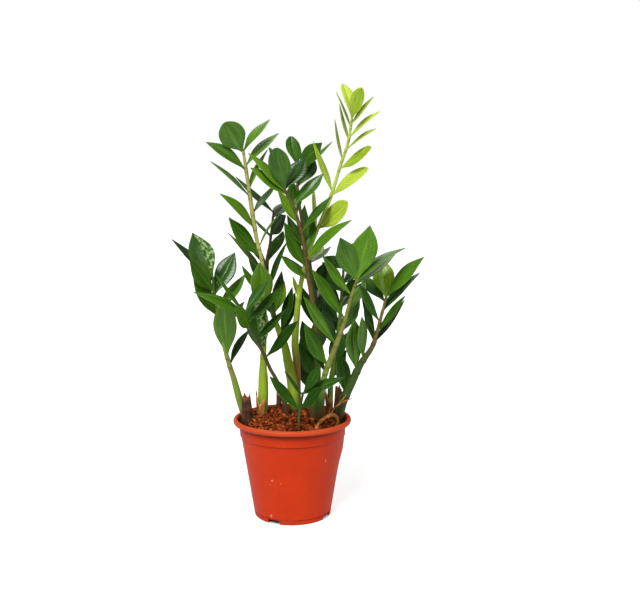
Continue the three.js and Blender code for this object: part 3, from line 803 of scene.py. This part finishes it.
# %% Fronds on the right
FRONDS["frond_front_right"] = dict(
    tone=0.42, tones={0: 0.42, 1: 0.5},
    colors=[(150, EARTH), (168, DEEP), (200, GREEN), (236, OLIVE), (345, OLIVE)],
    stalk=[[36, -26, 114, 4.4], [40, -24, 150, 5.6], [42, -25, 178, 5.4], [46, -28, 206, 4.2],
        [53, -32, 228, 4], [62, -37, 252, 3.7], [70, -42, 275, 3.1], [76, -47, 295, 2.6],
        [81, -52, 317, 2.2], [86, -56, 334, 1.9], [90, -60, 346, 1.5]],
    leaves=[[344, -23, -24, 59, 31, 20, -0.02], [345, 19, 2, 73, 36, 5], [342, 68, 14, 46, 30, 69, 0.09],
        [338, 58, 34, 40, 29, 66, 0.02], [324, -41, -16, 56, 30, 61, -0.03],
        [289, -46, -22, 71, 31, 60, 0.01], [253, -45, -16, 70, 25, 57, 0],
        [222, -32, -22, 62, 32, 50, -0.02], [212, -22, 4, 50, 24, 55, 0], [270, 28, 40, 43, 25, 57, 0],
        [303, 26, 38, 36, 23, 52, 0]],
)
FRONDS["frond_right"] = dict(
    tone=0.3, tones={0: 0.66, 1: 0.46, 7: 0.46, 8: 0.46, 9: 0.06},
    colors=[(148, EARTH), (158, DEEP), (225, DEEP), (252, BROWN), (318, OLIVE)],
    stalk=[[58, -5, 113, 4.6], [68, -8, 147, 6.2], [74, -9, 169, 6.4], [84, -11, 192, 6.2],
        [98, -14, 222, 4.8], [114, -18, 248, 3.5], [121, -22, 272, 2.6], [127, -26, 298, 2.2],
        [132, -30, 319, 1.7]],
    leaves=[[317, -4, 30, 54, 32, 5], [319, 50, -10, 57, 32, 56, 0.05], [298, 54, 18, 54, 30, 75, 0.06],
        [270, 36, -24, 53, 24, 78, 0], [312, -31, 40, 34, 26, 34, 0.04], [283, -31, -26, 56, 29, 64, 0],
        [254, -13, 30, 54, 27, 66, 0], [228, -4, -28, 66, 27, 56, 0], [211, -6, -30, 79, 32, 40, -0.03],
        [252, 45, 12, 61, 28, 80, 0], [176, -7, 14, 58, 26, 30, 0], [262, -20, 10, 62, 20, 60, 0]],
)
# Its low tone is painted shade, as it stands behind the others.
FRONDS["frond_back_right"] = dict(
    tone=0.2,
    colors=[(150, EARTH), (165, GREEN), (200, GREEN), (360, DEEP)],
    stalk=[[55, 28, 113, 3.6], [55, 28, 150, 4.6], [56, 32, 182, 4.2], [61, 38, 215, 3.8],
        [67, 46, 255, 3.2], [71, 54, 294, 2.8], [74, 61, 333, 2.3], [76, 66, 362, 1.7]],
    leaves=[[361, 0, 38, 26, 26, 24], [359, 30, 30, 36, 26, 32], [352, -28, 20, 18, 22, 20],
        [333, -31, 36, 28, 24, 50, 0], [329, 37, 36, 32, 26, 45, 0], [298, -25, 10, 41, 20, 52, 0],
        [294, 33, 36, 35, 26, 54, 0], [257, -18, 34, 41, 25, 55, 0], [255, 31, 36, 39, 26, 54, 0],
        [221, 24, 36, 37, 24, 54, 0], [198, 14, 6, 70, 26, 20], [318, -26, -8, 30, 26, 40, 0],
        [272, -28, -16, 40, 28, 46, 0], [236, -22, -14, 58, 26, 40, 0], [190, 22, 4, 44, 22, 50, 0],
        [310, 24, -10, 28, 24, 50, 0]],
)
print("leaflets:", sum(len(row["leaves"]) for row in FRONDS.values()), "on", len(FRONDS), "fronds")

# %% [markdown]
# The leaflets of a frond come first, set on the middle line of its stalk so that their narrow bases will
# sink into it. They are still thin sheets here. Solidify gives them all their thickness at once, with the
# underside in its own finish, and one level of subdivision rounds their margins. Then the stalk is added
# along the same line.

# %% Make the fronds
LEAF_THICKNESS = 0.9
SLIM_TURN = 64  # from this turn on a leaflet is of the slim shape
TONE_CHANCE = 0.12
TONE_RISE_AGE_AND_SHADE = 0.0005  # per mm: the lower leaflets are older and deeper green, and darker also as painted shade
TONE_LEVEL = 300  # mm, where a leaflet has the tone of its frond


def blades_of(row, line, chance):
    """The leaflets of a frond, each with its tone and its painted gleam."""
    for number, (height, x, y, z, width, turn, *bow) in enumerate(row["leaves"]):
        usual_shape = "slim" if turn > SLIM_TURN else "broad"
        master = MASTERS["round" if number in row.get("round", ()) else usual_shape]
        root = at_height(line, height).xyz * MM
        blade = leaflet(master, root, Vector((x, y, z)) * MM, width * MM,
                        turn, bow[0] if bow else LEAF_BOW, chance)
        tone = row["tone"] + chance.uniform(-TONE_CHANCE, TONE_CHANCE) + TONE_RISE_AGE_AND_SHADE * (height - TONE_LEVEL)
        mark(blade, "tone", row.get("tones", {}).get(number, tone))
        mark(blade, "glint", row.get("glints", {}).get(number, 0.0))
        yield blade


def frond(name, row):
    line = line_through(row["stalk"], STALK_STEPS)
    blade = joined(list(blades_of(row, line, random.Random(name))), name + "_leaflets")
    for material in (leaf_top, leaf_under):
        blade.data.materials.append(material)
    modify(blade, "SOLIDIFY", thickness=LEAF_THICKNESS * MM, offset=0, material_offset=1)
    modify(blade, "SUBSURF", levels=1)
    heights = [height for height, *_ in row["leaves"]]
    stem = stalk_of(name + "_stalk", line, row["colors"], heights)
    whole = joined([blade, stem], name + "_grown")
    finished(whole, "young_leaf" if name == "frond_young" else "leaf", name)


for name, row in FRONDS.items():
    frond(name, row)
for master in MASTERS.values():
    bpy.data.objects.remove(master)

# %% [markdown]
# ## The pot
#
# The pot is thin moulded plastic: a flat pad in the middle of the foot, a raised channel with drain
# holes, a short foot ring with notches, a tapered wall, a collar band that is a little wider, and a
# bead rolled outwards at the rim. It is pulled up here ring by ring, as on a wheel: a disc for the pad,
# whose edge is extruded and widened again and again along the profile, up the outside, over the bead and
# down the inside. The profile is a list of (radius, height), with the bead as arcs.

# %% Pot sizes
POT_SIDES = 128
POT_HEIGHT = 142
RIM_RADIUS = 85
RIM_INSIDE = 79
BEAD_FOOT = POT_HEIGHT - 7.5
BEAD_ROUND = 3.0
LIP_ROUND = 2
COLLAR_TOP_RADIUS = 77.4
COLLAR_FOOT_RADIUS = 75.6
COLLAR_FOOT_HEIGHT = 117
WALL_TOP_RADIUS = 74.2
WALL_FOOT_RADIUS = 56.4
FOOT_RADIUS = 55
WALL = 1.6
FLOOR = 2
PAD_RADIUS = 30
CHANNEL_RISE = 7
CHANNEL_TOP = CHANNEL_RISE + FLOOR
FOOT_GROOVE = 6.5  # height of the line that sets off the foot ring
GROOVE_HALF = 0.8
EASE = 0.4  # the small rounding of an edge


def wall_radius(height):
    share = (height - CHANNEL_RISE) / (COLLAR_FOOT_HEIGHT - CHANNEL_RISE)
    return WALL_FOOT_RADIUS + (WALL_TOP_RADIUS - WALL_FOOT_RADIUS) * share


def arc(radius, height, size, first, last, steps):
    """Points of an arc round (radius, height), from one angle to another."""
    angles = [math.radians(first + (last - first) * step / steps) for step in range(steps + 1)]
    return [(radius + size * math.cos(a), height + size * math.sin(a)) for a in angles]


print("pot:", 2 * RIM_RADIUS, "mm wide and", POT_HEIGHT, "mm high")

# %% Pot profile
FOOT_PROFILE = [
    (PAD_RADIUS, 0), (PAD_RADIUS + EASE, EASE), (PAD_RADIUS + 2, CHANNEL_RISE),
    (FOOT_RADIUS - WALL - 2, CHANNEL_RISE), (FOOT_RADIUS - WALL, 0.3), (FOOT_RADIUS - WALL + EASE, 0),
    (FOOT_RADIUS - EASE, 0), (FOOT_RADIUS + 0.1, EASE), (FOOT_RADIUS + 1.2, FOOT_GROOVE - GROOVE_HALF),
    (FOOT_RADIUS + 0.7, FOOT_GROOVE), (wall_radius(FOOT_GROOVE + GROOVE_HALF), FOOT_GROOVE + GROOVE_HALF),
]
WALL_PROFILE = [
    *[(wall_radius(height), height) for height in range(12, COLLAR_FOOT_HEIGHT - 3, 5)],
    (WALL_TOP_RADIUS - 0.1, COLLAR_FOOT_HEIGHT - 1.4), (WALL_TOP_RADIUS + 0.5, COLLAR_FOOT_HEIGHT - 0.5),
    (COLLAR_FOOT_RADIUS, COLLAR_FOOT_HEIGHT + EASE), (COLLAR_FOOT_RADIUS + EASE, COLLAR_FOOT_HEIGHT + 6),
    (COLLAR_TOP_RADIUS - 0.3, BEAD_FOOT - 3), (COLLAR_TOP_RADIUS, BEAD_FOOT - EASE),
    (COLLAR_TOP_RADIUS + 0.5, BEAD_FOOT),
]
BEAD_PROFILE = [
    *arc(RIM_RADIUS - BEAD_ROUND, BEAD_FOOT + BEAD_ROUND, BEAD_ROUND, -90, 0, 5),
    *arc(RIM_RADIUS - BEAD_ROUND, POT_HEIGHT - BEAD_ROUND, BEAD_ROUND, 0, 90, 5),
    *arc(RIM_INSIDE + LIP_ROUND, POT_HEIGHT - LIP_ROUND, LIP_ROUND, 90, 180, 4),
]
INSIDE_PROFILE = [
    (COLLAR_TOP_RADIUS - WALL, BEAD_FOOT - 3),
    (wall_radius(COLLAR_FOOT_HEIGHT - 3) - WALL, COLLAR_FOOT_HEIGHT - 3),
    *[(wall_radius(height) - WALL, height) for height in range(104, 20, -12)],
    (wall_radius(CHANNEL_TOP) - WALL, CHANNEL_TOP), (PAD_RADIUS + 1, CHANNEL_TOP), (PAD_RADIUS - 1, FLOOR),
]
POT_PROFILE = FOOT_PROFILE + WALL_PROFILE + BEAD_PROFILE + INSIDE_PROFILE
print("pot profile:", len(POT_PROFILE), "points")

# %% A round body pulled up
def pulled_up(name, rings, sides):
    """A closed round body, from the flat disc of its foot up. A ring is [x, y, z, radius]."""
    bpy.ops.mesh.primitive_circle_add(
        vertices=sides, radius=rings[0].w * MM, fill_type="NGON", location=rings[0].xyz * MM)
    body = made(name)
    place_in_mesh(body)
    with editing(body):
        bpy.ops.mesh.select_mode(type="EDGE")
        bpy.ops.mesh.select_all(action="SELECT")
        for before, after in zip(rings, rings[1:]):
            bpy.ops.mesh.extrude_edges_move(
                TRANSFORM_OT_translate={"value": (after.xyz - before.xyz) * MM})
            wider = after.w / before.w
            bpy.ops.transform.resize(value=(wider, wider, 1), center_override=after.xyz * MM)
        bpy.ops.mesh.edge_face_add()
        bpy.ops.mesh.select_all(action="SELECT")
        bpy.ops.mesh.normals_make_consistent(inside=False)
    return body


def upright(profile):
    """Rings round the middle of the pot, from a profile."""
    return [Vector((0, 0, height, radius)) for radius, height in profile]


def cut(body, cutter):
    """Takes one closed body out of another."""
    modify(body, "BOOLEAN", operation="DIFFERENCE", solver="EXACT", object=cutter)
    bpy.data.objects.remove(cutter)


# %% Shape the pot
NOTCH_ANGLES = [-117, -27, 63, 153]  # degrees from +X
NOTCH_SIZE = Vector((12, 18, 12))  # half of its height is in the foot ring
NOTCH_ROUND = 1.2
DRAIN_RADIUS = 4
DRAIN_DEPTH = 8
DRAIN_CIRCLE = 42

pot = pulled_up("nursery_pot", upright(POT_PROFILE), POT_SIDES)
for angle in map(math.radians, NOTCH_ANGLES):
    outwards = Vector((math.cos(angle), math.sin(angle), 0))
    bpy.ops.mesh.primitive_cube_add(
        size=MM, location=outwards * FOOT_RADIUS * MM, rotation=(0, 0, angle), scale=NOTCH_SIZE)
    notch = made("notch")
    place_in_mesh(notch)
    modify(notch, "BEVEL", width=NOTCH_ROUND * MM, segments=3)
    cut(pot, notch)
    bpy.ops.mesh.primitive_cylinder_add(
        vertices=24, radius=DRAIN_RADIUS * MM, depth=DRAIN_DEPTH * MM,
        location=(outwards * DRAIN_CIRCLE + Vector((0, 0, CHANNEL_RISE + FLOOR / 2))) * MM)
    cut(pot, made("drain_hole"))
print("pot:", len(pot.data.vertices), "points")

# %% [markdown]
# The plastic is matt orange-red with a soft sheen. Handling has left faint clouds, fine upright
# scratches, a few pale nicks and some dust near the foot; some of the pale nicks are painted highlights.
# The bead is a little paler, in part as a painted highlight, painted shade darkens the sunken lines and
# the inside, and the thin wall is pushed out a little at the right.

# %% Bulge of the wall
BULGE_PLACE = Vector((70, 0, 100))
BULGE_REACH = 20
BULGE_DEPTH = 2.4
for vertex in pot.data.vertices:
    away = (vertex.co / MM - BULGE_PLACE).length / BULGE_REACH
    vertex.co.x += BULGE_DEPTH * math.exp(-away * away) * MM
print("bulge:", BULGE_DEPTH, "mm at", tuple(BULGE_PLACE))

# %% Pot finish
POT_RED = paint(183, 47, 10)
POT_ORANGE = paint(191, 52, 12)
BEAD_PALE_AND_HIGHLIGHT = paint(183, 71, 33)
INSIDE_PAINTED_SHADE = paint(110, 24, 8)
SCRATCH_PALE = paint(216, 100, 70)
DUST_PALE = paint(206, 120, 90)
GROOVE_PAINTED_SHADE = paint(112, 16, 4)
NICK_PALE_AND_HIGHLIGHT = paint(240, 156, 118)
DUST_HEIGHT = 22
# The height of each sunken line, and how dark the painted shade in it is.
SHADED_GROOVES = [(FOOT_GROOVE, 0.5), (COLLAR_FOOT_HEIGHT - 0.6, 0.45), (BEAD_FOOT - EASE, 0.6)]
# Nicks and painted highlights: how far across and up each is on the front, how far it reaches, and how
# many times taller than wide.
NICKS_AND_HIGHLIGHTS = [(-28.5, 12, 1.7, 1.4), (-26.3, 66.5, 1.4, 1), (-29.3, 60, 0.8, 1), (-14.4, 63.5, 0.7, 1),
         (47.9, 92.5, 0.8, 3.5)]

plastic = Finish("pot_plastic")
here = plastic.place()
_, _, z = plastic.parts(here)
clouds = plastic.noise(26, 4, here)
scratches = plastic.noise(420, 2, plastic.place((1, 1, 0.05))).step(0.62, 0.72)
dust = plastic.noise(90, 5, here).step(0.45, 0.8) * (1 - z.step(0, DUST_HEIGHT * MM))
from_axis = plastic.length(plastic.place((1, 1, 0)))
# Painted shade: the inside of the wall, below the bead, is darker.
inside = 1 - from_axis.step((RIM_INSIDE - 1.5) * MM, (RIM_INSIDE + 0.5) * MM)
inside = inside * z.step((BEAD_FOOT - 8.5) * MM, (BEAD_FOOT - 1.5) * MM)
color = plastic.blend(clouds.step(0.3, 0.75), POT_RED, POT_ORANGE)
# The bead is paler, in part as a painted highlight.
color = plastic.blend(z.step((BEAD_FOOT - 2.5) * MM, (BEAD_FOOT + 3.5) * MM) * 0.8, color, BEAD_PALE_AND_HIGHLIGHT)
color = plastic.blend(inside * 0.7, color, INSIDE_PAINTED_SHADE)
color = plastic.blend(scratches * 0.06, color, SCRATCH_PALE)
color = plastic.blend(dust * 0.2, color, DUST_PALE)
# Painted shade in the sunken lines.
for height, dark in SHADED_GROOVES:
    color = plastic.blend(z.band(height * MM, 0.5 * MM, 1.1 * MM) * dark, color, GROOVE_PAINTED_SHADE)
# Pale nicks, some of them painted highlights of small bumps and scratches.
for across, up, reach, taller in NICKS_AND_HIGHLIGHTS:
    front = -math.sqrt(wall_radius(up) ** 2 - across ** 2)
    off = plastic.vector("SUBTRACT", here, (across * MM, front * MM, up * MM))
    away = plastic.length(plastic.vector("MULTIPLY", off, (1, 1, 1 / taller)))
    color = plastic.blend((1 - away.step(reach * 0.4 * MM, reach * 1.5 * MM)) * 0.6, color, NICK_PALE_AND_HIGHLIGHT)
plastic.set(
    Base_Color=color,
    Roughness=0.36 + clouds * 0.16,
    Specular_IOR_Level=0.12,
    Normal=plastic.bump(plastic.noise(900, 2, here) + clouds * 2, 0.12 * MM),
)
pot.data.materials.clear()
pot.data.materials.append(plastic.material)
finished(pot, "pot_plastic", "pot", smooth=30)

# %% [markdown]
# ## The soil
#
# The mix is coarse: rust-red grains of baked clay and bark, with dark gaps between them, heaped a little
# left of the middle. A bumpy surface alone looks like dough, so the body of the soil is only the dark
# ground under the grains. It fills the pot down to its foot, and its top follows the same heap as the
# plain solid.

# %% Surface of the soil
SOIL_LEVEL = 135
HEAP_HEIGHT = 14
HEAP_PLACE = Vector((-16, 8))
HEAP_SPREAD = 44
LUMPS = 1.5


def ground(x, y):
    """Height of the soil's surface, in millimetres."""
    away = math.hypot(x - HEAP_PLACE.x, y - HEAP_PLACE.y) / HEAP_SPREAD
    heap = HEAP_HEIGHT * math.exp(-away * away / 2)
    across = math.sin(x * 0.61 + 1.3 * math.sin(y * 0.43))
    back = math.sin(y * 0.57 + 1.1 * math.sin(x * 0.37))
    return SOIL_LEVEL + heap + LUMPS * across * back


print("top of the heap:", round(ground(*HEAP_PLACE)), "mm")

# %% Body of the soil
SOIL_SIDES = 96
SOIL_RINGS = 26
SOIL_RADIUS = 76
SOIL_SHOULDER = 113  # height up to which it lies along the wall
SOIL_GAP = 0.4
SOIL_BOTTOM = CHANNEL_TOP + SOIL_GAP
UNDER_GRAINS = 1.6  # how far the body's top lies under the soil's surface
ROUGH = 1.6


def soil_radius(height):
    return wall_radius(height) - (WALL + SOIL_GAP)


soil = pulled_up("soil_body", upright([
    (PAD_RADIUS - 2, FLOOR + SOIL_GAP), (PAD_RADIUS, SOIL_BOTTOM), (soil_radius(SOIL_BOTTOM), SOIL_BOTTOM),
    (soil_radius(SOIL_SHOULDER), SOIL_SHOULDER),
    *[(SOIL_RADIUS * (1 - ring / SOIL_RINGS), SOIL_LEVEL) for ring in range(SOIL_RINGS)],
]), SOIL_SIDES)
for vertex in soil.data.vertices:
    if vertex.co.z > (SOIL_LEVEL - 1) * MM:
        rough = uneven(vertex.co, 160, 3) * ROUGH
        vertex.co.z = (ground(vertex.co.x / MM, vertex.co.y / MM) - UNDER_GRAINS + rough) * MM
print("body of the soil:", len(soil.data.vertices), "points")

# %% [markdown]
# Three kinds of grain, each from a rough ball of 80 faces, and a flat chip of bark are modelled once. They
# are copied about two thousand times over the ground, each turned and sized by chance. A grain keeps
# clear of the rim and of the stalks.

# %% Master grains
GRAIN_SIZE = (1, 0.8)
GRAIN_FLATNESS = (0.85, 0.7, 0.6)
CHIP_SIZE = (1.9, 0.62, 0.22)
CHIP_SEED = 5
DENTS = 0.16


def shaped(name, size, cuts, **dents):
    """Sizes, divides and dents the primitive that was just added."""
    bit = made(name)
    with editing(bit, "SELECT"):
        bpy.ops.transform.resize(value=size)
        if cuts:
            bpy.ops.mesh.subdivide(number_cuts=cuts)
        bpy.ops.transform.vertex_random(offset=DENTS, **dents)
    return bit


grains = []
for seed, flat in enumerate(GRAIN_FLATNESS):
    bpy.ops.mesh.primitive_ico_sphere_add(subdivisions=2, radius=1, location=(0, 0, 0))
    grains.append(shaped(f"grain_{seed}", (*GRAIN_SIZE, flat), cuts=0, uniform=0.4, normal=0.6, seed=seed))
bpy.ops.mesh.primitive_cube_add(size=2, location=(0, 0, 0))
chip = shaped("bark_bit", CHIP_SIZE, cuts=1, uniform=0.2, normal=0.5, seed=CHIP_SEED)
print("grains:", len(grains), "- faces:", [len(bit.data.polygons) for bit in (*grains, chip)])

# %% Strew the grains
GRAINS_OF_A_KIND = 700
CHIP_COUNT = 130
GRAIN_SIZES = (0.9, 3.7)
CHIP_SIZES = (1.6, 4.0)
GRAIN_TURNS = (("Z", 0, 6.283), ("X", -0.5, 0.5), ("Y", -0.4, 0.4))  # radians, by chance
GRAIN_SINK = 0.9
GRAIN_PILE = 1.5
RIM_MARGIN = 2.5
STEM_LEVEL = 146
stem_feet = [at_height(line_through(row["stalk"], STALK_STEPS), STEM_LEVEL) for row in FRONDS.values()]


def stands_clear(x, y, reach):
    if math.hypot(x, y) > SOIL_RADIUS - RIM_MARGIN - reach:
        return False
    return all(math.hypot(x - stem.x, y - stem.y) > stem.w + reach * 0.6 for stem in stem_feet)


def strewn(master, count, smallest, largest, chance):
    """Copies of a grain over the ground, each with a shade of its own."""
    copies = []
    while len(copies) < count:
        x, y = chance.uniform(-SOIL_RADIUS, SOIL_RADIUS), chance.uniform(-SOIL_RADIUS, SOIL_RADIUS)
        size = smallest + (largest - smallest) * chance.random() ** 2
        if not stands_clear(x, y, size):
            continue
        turn = Matrix()
        for axis, low, high in GRAIN_TURNS:
            turn @= Matrix.Rotation(chance.uniform(low, high), 4, axis)
        up = ground(x, y) - GRAIN_SINK + chance.uniform(0, GRAIN_PILE)
        place = Matrix.Translation(Vector((x, y, up)) * MM)
        grain = copied(master, place @ turn @ Matrix.Scale(size * MM, 4))
        mark(grain, "shade", chance.random())
        copies.append(grain)
    return copies


by_chance = random.Random("grains")
bits = []
for grain in grains:
    bits += strewn(grain, GRAINS_OF_A_KIND, *GRAIN_SIZES, by_chance)
bits += strewn(chip, CHIP_COUNT, *CHIP_SIZES, by_chance)
soil = joined([soil, *bits], "soil_mix")
for master in (*grains, chip):
    bpy.data.objects.remove(master)
print("grains and chips:", len(bits))

# %% Soil finish
SOIL_TONES = [(0.0, paint(34, 12, 2)), (0.25, paint(92, 36, 10)), (0.7, paint(138, 60, 20)),
              (0.96, paint(164, 80, 32)), (1.0, paint(188, 116, 60))]

earth = Finish("soil_mix")
fine = earth.noise(700, 4)
earth.set(
    Base_Color=earth.ramp(earth.value("shade") + (fine - 0.5) * 0.5, SOIL_TONES),
    Roughness=0.85,
    Specular_IOR_Level=0.1,
    Normal=earth.bump(fine, 0.6 * MM),
)
soil.data.materials.append(earth.material)
finished(soil, "soil", "soil", smooth=35)

# %% [markdown]
# ## Dry remains
#
# Old growth dries up where it stood. Stumps, sheaths and bark share one finish, in three sets of colours:
# fibrous dead tissue, with streaks along the piece, dark and pale patches, and paler where it is torn.

# %% Dry finishes
def dry_finish(name, dark, light, pale, scale=(1, 1, 0.1)):
    dry = Finish(name)
    fibre = dry.noise(260, 4, dry.place(scale))
    patch = dry.noise(70, 3)
    color = dry.blend(patch.step(0.3, 0.7), dark, light)
    color = dry.blend(fibre.step(0.5, 0.8) * 0.7, color, pale)
    color = dry.blend((1 - fibre).step(0.52, 0.75) * 0.7, color, dark)
    color = dry.blend(dry.value("torn"), color, pale)
    dry.set(
        Base_Color=color,
        Roughness=0.72 + patch * 0.2,
        Specular_IOR_Level=0.25,
        Normal=dry.bump(fibre + patch * 0.5, 0.6 * MM),
    )
    return dry.material


old_stalk = dry_finish("old_stalk", paint(36, 22, 10), paint(98, 62, 34), paint(156, 84, 44))
sheath_paper = dry_finish("sheath_paper", paint(96, 52, 20), paint(164, 106, 46), paint(206, 146, 84))
bark = dry_finish("bark", paint(92, 48, 18), paint(190, 116, 54), paint(232, 176, 108), scale=(1, 1, 1))
print("dry finishes:", old_stalk.name, sheath_paper.name, bark.name)

# %% [markdown]
# Three stumps of dead stalks are left, dark and banded by the scars of their scales, with a torn top and
# a sunken pith. They are pulled up ring by ring like the pot, but along a line that leans, with a small
# ridge at each band. The torn edge is made by lifting single points of the last rings.

# %% Stump sizes
STUMP_SIDES = 28
STUMP_STEPS = 9  # rings to a span
BAND_HEIGHT = 7.5  # between the scars
BAND_RIDGE = 0.45
PITH = ((1, 0.35), (7, 0.5))  # how far down and in its rings lie, in mm and as a share of the radius
TEETH = 7
TOOTH_HEIGHTS = (-5, 12)
TORN_DEPTH = 9
STUMPS = {
    "stump_left": [[-60, -20, 118, 6], [-63, -22, 148, 8], [-64, -22, 177, 5.6]],
    "stump_centre": [[-19, 24, 118, 3.8], [-20, 23, 146, 4.6], [-21, 22, 168, 3.1]],
    "stump_right": [[66, 7, 118, 4.6], [66, 7, 150, 6.1], [67, 6, 183, 4.7]],
}
print("stumps:", ", ".join(STUMPS))


# %% Make the stumps
def ridged(ring):
    """A ring of a stump, wider where a band runs round it."""
    ridge = BAND_RIDGE * max(0, math.cos(ring.z / BAND_HEIGHT * 2 * math.pi)) ** 4
    return Vector((*ring.xyz, ring.w + ridge))


def stump(name, path):
    chance = random.Random(name)
    line = line_through(path, STUMP_STEPS)
    top = line[-1]
    pith = [top - Vector((0, 0, down, top.w * inwards)) for down, inwards in PITH]
    rings = [line[0], *[ridged(ring) for ring in (*line[1:], *pith)]]
    body = pulled_up(name + "_dry", rings, STUMP_SIDES)
    teeth = [chance.uniform(*TOOTH_HEIGHTS) for _ in range(TEETH)]
    torn = []
    for vertex in body.data.vertices:
        out = vertex.co.xy / MM - top.xy
        share = math.atan2(out.y, out.x) / (2 * math.pi) % 1 * TEETH
        tooth = teeth[int(share) % TEETH] * (1 - abs(share % 1 - 0.5) * 2)
        near_top = min(1, max(0, (vertex.co.z / MM - top.z + TORN_DEPTH) / TORN_DEPTH)) ** 2
        if out.length > top.w * 0.6:
            vertex.co.z += tooth * near_top * MM
        rough = uneven(vertex.co, 420, 2) * 0.5 * MM
        vertex.co.x += rough
        vertex.co.y += rough * 0.7
        torn.append(near_top * 0.6)
    mark(body, "torn", torn)
    modify(body, "SUBSURF", levels=1)
    body.data.materials.append(old_stalk)
    finished(body, "dry_stalk", name)


for name, path in STUMPS.items():
    stump(name, path)

# %% [markdown]
# A sheath is the papery scale that once wrapped a young stalk and now stands round its foot, split and
# torn. One upright edge, extruded from a single point, is spun part of the way round the stalk. The upper
# rim is then torn by lifting single points, the loose edges curl outwards, and Solidify gives it paper
# thickness.

# %% Sheath sizes
SHEATH_STEPS = 20  # round the stalk
SHEATH_ROWS = 12  # up
SHEATH_THICKNESS = 0.8
SHEATH_CURL = 1.6  # that the loose edges stand off
SHEATH_WAVES = 0.9
SPIKE_AT = 0.3  # share of the way round, where the paper is left longest
TORN_AWAY = 0.24  # share of the height, at most
# The middle, the height of the foot and of the highest tear, the radius, the angles of the two edges.
SHEATHS = {
    "sheath_left": [-43, 2, 127, 182, 9.3, 130, 290],
    "sheath_right": [55.3, 29, 127, 178, 6.8, 160, 290],
}
print("sheaths:", ", ".join(SHEATHS))


# %% Make the sheaths
def sheath(name, x, y, foot, top, radius, first, last):
    chance = random.Random(name)
    angle = math.radians(first)
    start = Vector((x + radius * math.cos(angle), y + radius * math.sin(angle), foot)) * MM
    bpy.ops.mesh.primitive_plane_add(size=MM, location=start)
    scale = made(name + "_paper")
    place_in_mesh(scale)
    with editing(scale, "SELECT"):
        bpy.ops.mesh.merge(type="CENTER")
        for _ in range(SHEATH_ROWS):
            bpy.ops.mesh.extrude_vertices_move(
                TRANSFORM_OT_translate={"value": (0, 0, (top - foot) / SHEATH_ROWS * MM)})
        bpy.ops.mesh.select_all(action="SELECT")
        bpy.ops.mesh.spin(steps=SHEATH_STEPS, angle=math.radians(last - first),
                          center=Vector((x, y, 0)) * MM, axis=(0, 0, -1))
    tears = [chance.uniform(0, 1) for _ in range(SHEATH_STEPS + 1)]
    torn = []
    for vertex in scale.data.vertices:
        out = vertex.co.xy / MM - Vector((x, y))
        turn = (math.degrees(math.atan2(out.y, out.x)) - first) % 360
        column = min(SHEATH_STEPS, max(0, round(turn / (last - first) * SHEATH_STEPS)))
        share = column / SHEATH_STEPS
        up = (vertex.co.z / MM - foot) / (top - foot)
        spike = max(0, 1 - abs(share - SPIKE_AT) * 4)
        reach = 0.84 + 0.16 * spike - TORN_AWAY * tears[column] * (1 - spike)
        loose = abs(share * 2 - 1) ** 3 * up
        bulge = 1 + (SHEATH_CURL * loose + SHEATH_WAVES * math.sin(up * 7 + column)) / radius * up
        vertex.co.x = (x + out.x * bulge) * MM
        vertex.co.y = (y + out.y * bulge) * MM
        vertex.co.z = (foot + up * reach * (top - foot)) * MM
        torn.append(max(0, up * 4 - 3))
    mark(scale, "torn", torn)
    modify(scale, "SOLIDIFY", thickness=SHEATH_THICKNESS * MM, offset=1)
    modify(scale, "SUBSURF", levels=1)
    scale.data.materials.append(sheath_paper)
    finished(scale, "dry_sheath", name)


for name, row in SHEATHS.items():
    sheath(name, *row)

# %% [markdown]
# A curled strip of bark arches over a hollow at the front right, and a dry root leans on the right stalk.
# Both are tubes along a line, as the stalks are. The strip is thicker in some places than in others, and
# the root splits into two thin ends.

# %% Bark and dry root
STRAND_ROUNDNESS = 2
BARK_RADIUS = 2.6
BARK_PATH = [[33, -52, 126], [37, -50, 143], [47, -46, 152], [57, -41, 155], [64, -35, 149],
             [64, -31, 137], [62, -30, 126]]
ROOT_PATHS = [
    [[47, -41, 128, 1.2], [50, -37, 142, 1.2], [58, -28, 158, 1.1], [68, -20.5, 166, 1.1],
     [80, -18, 171, 0.9], [86, -13, 172, 0.5]],
    [[66, -22, 165, 0.8], [71, -21, 171, 0.7], [77, -20, 178, 0.4]],
    [[54, -33, 151, 0.7], [53, -36, 158, 0.6], [55, -37, 165, 0.35]],
]


def rough_strand(name, points, steps, unevenness):
    """A tube whose thickness wanders."""
    line = line_through(points, steps)
    for place in line:
        place.w *= 1 + unevenness * noise.noise(place.xyz * 0.21)
    strand = tube(name, line, STRAND_ROUNDNESS)
    with editing(strand, "SELECT"):
        bpy.ops.transform.vertex_random(offset=unevenness * 0.5 * MM, seed=len(points))
    strand.data.materials.append(bark)
    return strand


arch = rough_strand("bark_arch", [[*place, BARK_RADIUS] for place in BARK_PATH], 8, 0.5)
finished(arch, "dry_sheath", "bark_chip", smooth=60)
strands = [rough_strand(f"root_{number}", path, 6, 0.3) for number, path in enumerate(ROOT_PATHS)]
finished(joined(strands, "root_strand"), "dry_sheath", "dry_root", smooth=60)
